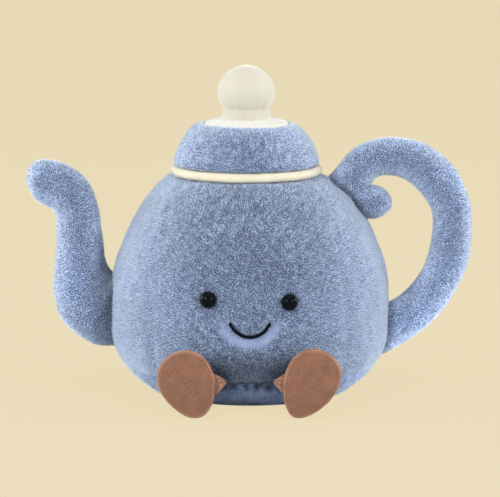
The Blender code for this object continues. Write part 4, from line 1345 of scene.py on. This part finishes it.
# %% Foot shapes
FOOT_SHAPES = {                     # length, width, taper, tilt in degrees, centre's distance out
    -1: (42.6 * MM, 33.2 * MM, 0.19, 22.0, 37.9 * MM),
    1: (44.4 * MM, 32.4 * MM, 0.24, 25.0, 36.4 * MM),
}
SOLE_THICKNESS = 1.6 * MM
SOLE_CROWN = 1.8 * MM
SOLE_PLANE = -96.86 * MM
ANKLE_RADIUS = 5.6 * MM
WALE_PITCH = 1.46 * MM
WALE_HEIGHT = 0.28 * MM
WALES_ROUND = 80
SOLE_SIDES, UPPER_SIDES, UPPER_ROWS = 280, 480, 70
PLEATS, PLEAT_HEIGHT = 13, 0.45 * MM
FOOT_FIBRE_DEPTH = 1.6 * MM
RIM_RADIUS, RIM_PITCH, RIM_TWIST = 0.34 * MM, 1.3 * MM, 0.25
STUB_RADIUS, STUB_SPREAD = 1.7 * MM, 4.4 * MM
STUB_FOLDS, STUB_FOLD_SHARE = 11, 0.09


def foot_outline(sign, angle):
    """Egg as (out, up, across, along): an oval, wider at its upper end, tilted outwards."""
    length, width, taper, tilt, _ = FOOT_SHAPES[sign]
    tilt = math.radians(tilt)
    along = length / 2 * np.sin(angle)
    across = width / 2 * np.cos(angle) * (1 + taper * np.sin(angle))
    out = across * math.cos(tilt) + along * math.sin(tilt)
    up = along * math.cos(tilt) - across * math.sin(tilt)
    return out, up, across, along


def foot_centre(sign):
    """Distance out and height of the sole's middle, with its lowest point just off the floor."""
    lowest = foot_outline(sign, np.linspace(0, 2 * np.pi, 720))[1].min()
    return FOOT_SHAPES[sign][4], 0.5 * MM - lowest


def on_sole(sign, angle, scale=1.0, depth=0.0):
    """Points of the egg, made larger by a scale and set forward of the sole's plane by a depth."""
    out, up, _, _ = foot_outline(sign, angle)
    far, high = foot_centre(sign)
    x = sign * (far + scale * out)
    return np.stack([x, SOLE_PLANE - depth + 0 * x, high + scale * up], axis=-1)


def wales(across):
    """Height of the cord's ridges from 0 to 1: rounded ridges with narrow grooves."""
    return np.abs(np.sin(np.pi * across / WALE_PITCH)) ** 0.8


def sole_piece(name, sign):
    """Crowned sole: rings of the egg from the back's middle over the rim to the front's."""
    angle = np.linspace(0, 2 * np.pi, SOLE_SIDES, endpoint=False)
    _, _, across, along = foot_outline(sign, angle)
    back = np.linspace(0.06, 0.97, 6)
    front = np.linspace(0.985, 0.004, 74)
    scale = np.concatenate([back, [0.99, 1.0, 1.0, 0.995], front])[:, None]
    depth = np.concatenate([
        0 * back, np.array([0.1, 0.45, 0.8, 1.1]) * MM,
        SOLE_THICKNESS - 0.4 * MM + SOLE_CROWN * (1 - front ** 2.2)])[:, None]
    grid = on_sole(sign, angle, scale, depth)
    bent = scale * across / (1 - 0.28 * (scale * along / along.max()) ** 2)
    ridge = wales(bent + 0.4 * MM * waves(grid, 22 * MM, 51))
    is_front = (np.arange(len(scale)) >= 8)[:, None]
    grid = lifted(grid, np.where(is_front, WALE_HEIGHT * (ridge - 0.5), 0)
                  + 0.3 * MM * waves(grid, 14 * MM, 52))
    # Painted sheen: the sole is painted paler towards its rim.
    edge_sheen = ramp(scale, 0.90, 0.1) ** 2 + 0 * ridge
    return skin(name, grid, brown_cord, np.stack([ridge, edge_sheen, 0 * ridge], axis=2))


def upper_piece(name, sign, root, ankle, inset=0.0):
    """Upper, or the fibre inset under it: each rib is a cubic from the sole's rim to the ankle."""
    angle = np.linspace(0, 2 * np.pi, UPPER_SIDES, endpoint=False)
    out, up, _, _ = foot_outline(sign, angle)
    start = on_sole(sign, angle, depth=-0.3 * MM)
    heading = unit(root - ankle)
    side, _ = axes_of(heading)
    side = side if side[1] >= 0 else -side
    turn = np.arctan2(up, out)
    end = (ankle + ANKLE_RADIUS * (np.cos(turn)[:, None] * side
                                   + np.sin(turn)[:, None] * np.array([0, 0, 1.0])))
    span = np.linalg.norm(end - start, axis=1)[:, None]
    flare = np.stack([sign * np.cos(turn), 0 * turn, np.sin(turn)], axis=1)
    leave = (np.array([0, 1.0, 0]) + 0.10 * flare) * 1.85 * span
    arrive = heading * 0.85 * span
    t = np.linspace(0, 1, UPPER_ROWS)[:, None, None]
    grid = ((2 * t ** 3 - 3 * t ** 2 + 1) * start + (t ** 3 - 2 * t ** 2 + t) * leave
            + (3 * t ** 2 - 2 * t ** 3) * end + (t ** 3 - t ** 2) * arrive)
    t = t[..., 0]
    ridge = wales(WALE_PITCH * (WALES_ROUND * angle / (2 * np.pi) + 0.3 * waves(grid, 9 * MM, 53)))
    pleats = np.sin(PLEATS * turn + 1.5 * np.sin(3 * turn)) * ramp(t, 0.45, 0.5) ** 1.5
    if inset:
        return skin(name, lifted(grid[::2, ::4], -inset), white_fibre)
    relief = WALE_HEIGHT * (1 - 0.6 * t) * (ridge - 0.5) + PLEAT_HEIGHT * pleats
    grid = lifted(grid, relief - 0.2 * MM)
    # Painted sheen: paler by the sole's rim and on the crests of the pleats.
    edge_sheen = np.clip(1 - t / 0.06, 0, 1) + 0.35 * np.clip(pleats, 0, 1)
    return skin(name, grid, brown_cord, np.stack([ridge, edge_sheen, 0 * ridge], axis=2))


def rim_piece(name, sign):
    """Stitched seam that follows the sole's rim: a thin twisted thread on the egg outline."""
    line = on_sole(sign, np.linspace(0, 2 * np.pi, 420), 1.002, -0.1 * MM)
    ups = np.repeat(np.array([[0, -1.0, 0]]), len(line), axis=0)
    return thread_along(name, line, RIM_RADIUS, seam_thread, ups, RIM_PITCH, RIM_TWIST, sides=10)


def stub_piece(name, sign, root, ankle):
    """Gathered leg: rings from the pot's seam to the ankle that widen and are lightly pleated."""
    heading = unit(ankle - root)
    side, up = axes_of(heading)
    turn = np.linspace(0, 2 * np.pi, 150, endpoint=False)
    t = np.linspace(-0.04, 1.12, 46)[:, None]
    length = np.linalg.norm(ankle - root)
    radius = STUB_RADIUS + STUB_SPREAD * np.clip(t, 0, 1) ** 1.1
    fold = np.cos(STUB_FOLDS * turn + 0.6 * np.sin(2 * turn))[None, :] + 0 * t
    size = radius * (1 + STUB_FOLD_SHARE * fold)
    size = size * np.sqrt(np.clip(1 - ((t - 0.54) / 0.62) ** 8, 0.05, 1))
    grid = (root + (t * length)[..., None] * heading
            + (size * np.cos(turn))[..., None] * side + (size * np.sin(turn))[..., None] * up)
    # Painted light and shade: the leg is painted pale all over, paler on its pleats' crests and
    # darker between them.
    ridge = 0.72 + 0.28 * fold
    marks = np.stack([ridge, 0.75 * ridge, 0 * ridge], axis=2)
    return skin(name, grid, brown_cord, marks)


# %% Feet in place
ROOT = np.array([15.315, -84.359, 20.060]) * MM
ANKLE = np.array([22.115, -88.759, 20.060]) * MM
feet = {}
for side_name, sign in (("left", -1), ("right", 1)):
    mirror = np.array([sign, 1.0, 1.0])
    root, ankle = ROOT * mirror, ANKLE * mirror
    feet[side_name] = dict(
        sole=sole_piece(f"sole_cord_{side_name}", sign),
        upper=upper_piece(f"upper_cord_{side_name}", sign, root, ankle),
        rim=rim_piece(f"rim_stitch_{side_name}", sign),
        stub=stub_piece(f"leg_pleats_{side_name}", sign, root, ankle),
        fibre=upper_piece(f"foot_fibre_{side_name}", sign, root, ankle, FOOT_FIBRE_DEPTH),
        root=root, ankle=ankle)

# %% [markdown]
# ## Joining looks and model
# Each new piece moves with a body, and the solids it stands for are hidden. The pleated legs
# keep their place, and the solid legs are hidden. What stays of the solids, the pellet pouch and
# the washers behind the eyes, only gets its material.

# %% Pieces, bodies and finishes
def settle(piece, body, slot, *nodes, fill=None):
    """Let a piece ride on a body and hide the solids it stands for; slot and fill are not used."""
    if isinstance(piece, str):
        piece = bpy.data.objects[piece]
    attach(piece, body)
    if nodes:
        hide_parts(*nodes)


settle("body_plush", "pot", "blue_plush", "body_cover", fill=0.9)
settle("base_plush", "pot", "blue_base", "base_panel", fill=0.8)
settle("lid_plush", "pot", "blue_plush", "lid_cover", fill=0.9)
settle("lid_top_plush", "pot", "cream_plush", "lid_top_disc", fill=0.6)
settle("piping_cloth", "pot", "cream_piping", "piping", fill=1.0)
settle("knob_velour", "pot", "cream_knob", "knob_cover", fill=1.0)
for name in limbs:
    settle(f"{name}_plush", "pot", "blue_plush", f"{name}_cover", fill=0.9)
for piece in blue_piles:
    settle(piece, "pot", "blue_plush")
settle(base_pile, "pot", "blue_base")
settle(disc_pile, "pot", "cream_plush")
settle(piping_pile, "pot", "cream_piping")
settle(eyes[0], "pot", "black_bead", "eye_left")
settle(eyes[1], "pot", "black_bead", "eye_right")
settle(smile, "pot", "black_thread", "smile")

for name in ("body", "lid", "knob", "spout", "handle", "curl"):
    settle(f"{name}_fibre", "pot", "white_fibre", f"{name}_filling", fill=0.9)

for side_name, foot in feet.items():
    body = f"{side_name}_foot"
    settle(foot["fibre"], body, "white_fibre", f"foot_filling_{side_name}", fill=0.8)
    settle(foot["sole"], body, "brown_cord", f"foot_sole_{side_name}", fill=0.8)
    settle(foot["upper"], body, "brown_cord", f"foot_upper_{side_name}", fill=0.8)
    settle(foot["rim"], body, "brown_cord")
    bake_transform(foot["stub"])
    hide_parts(f"leg_{side_name}")

KEPT_FINISH = {"pellet_pouch": pouch_linen,
               "eye_washer_left": white_plastic, "eye_washer_right": white_plastic}
for name, material in KEPT_FINISH.items():
    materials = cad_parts[name].data.materials
    materials.clear()
    materials.append(material)
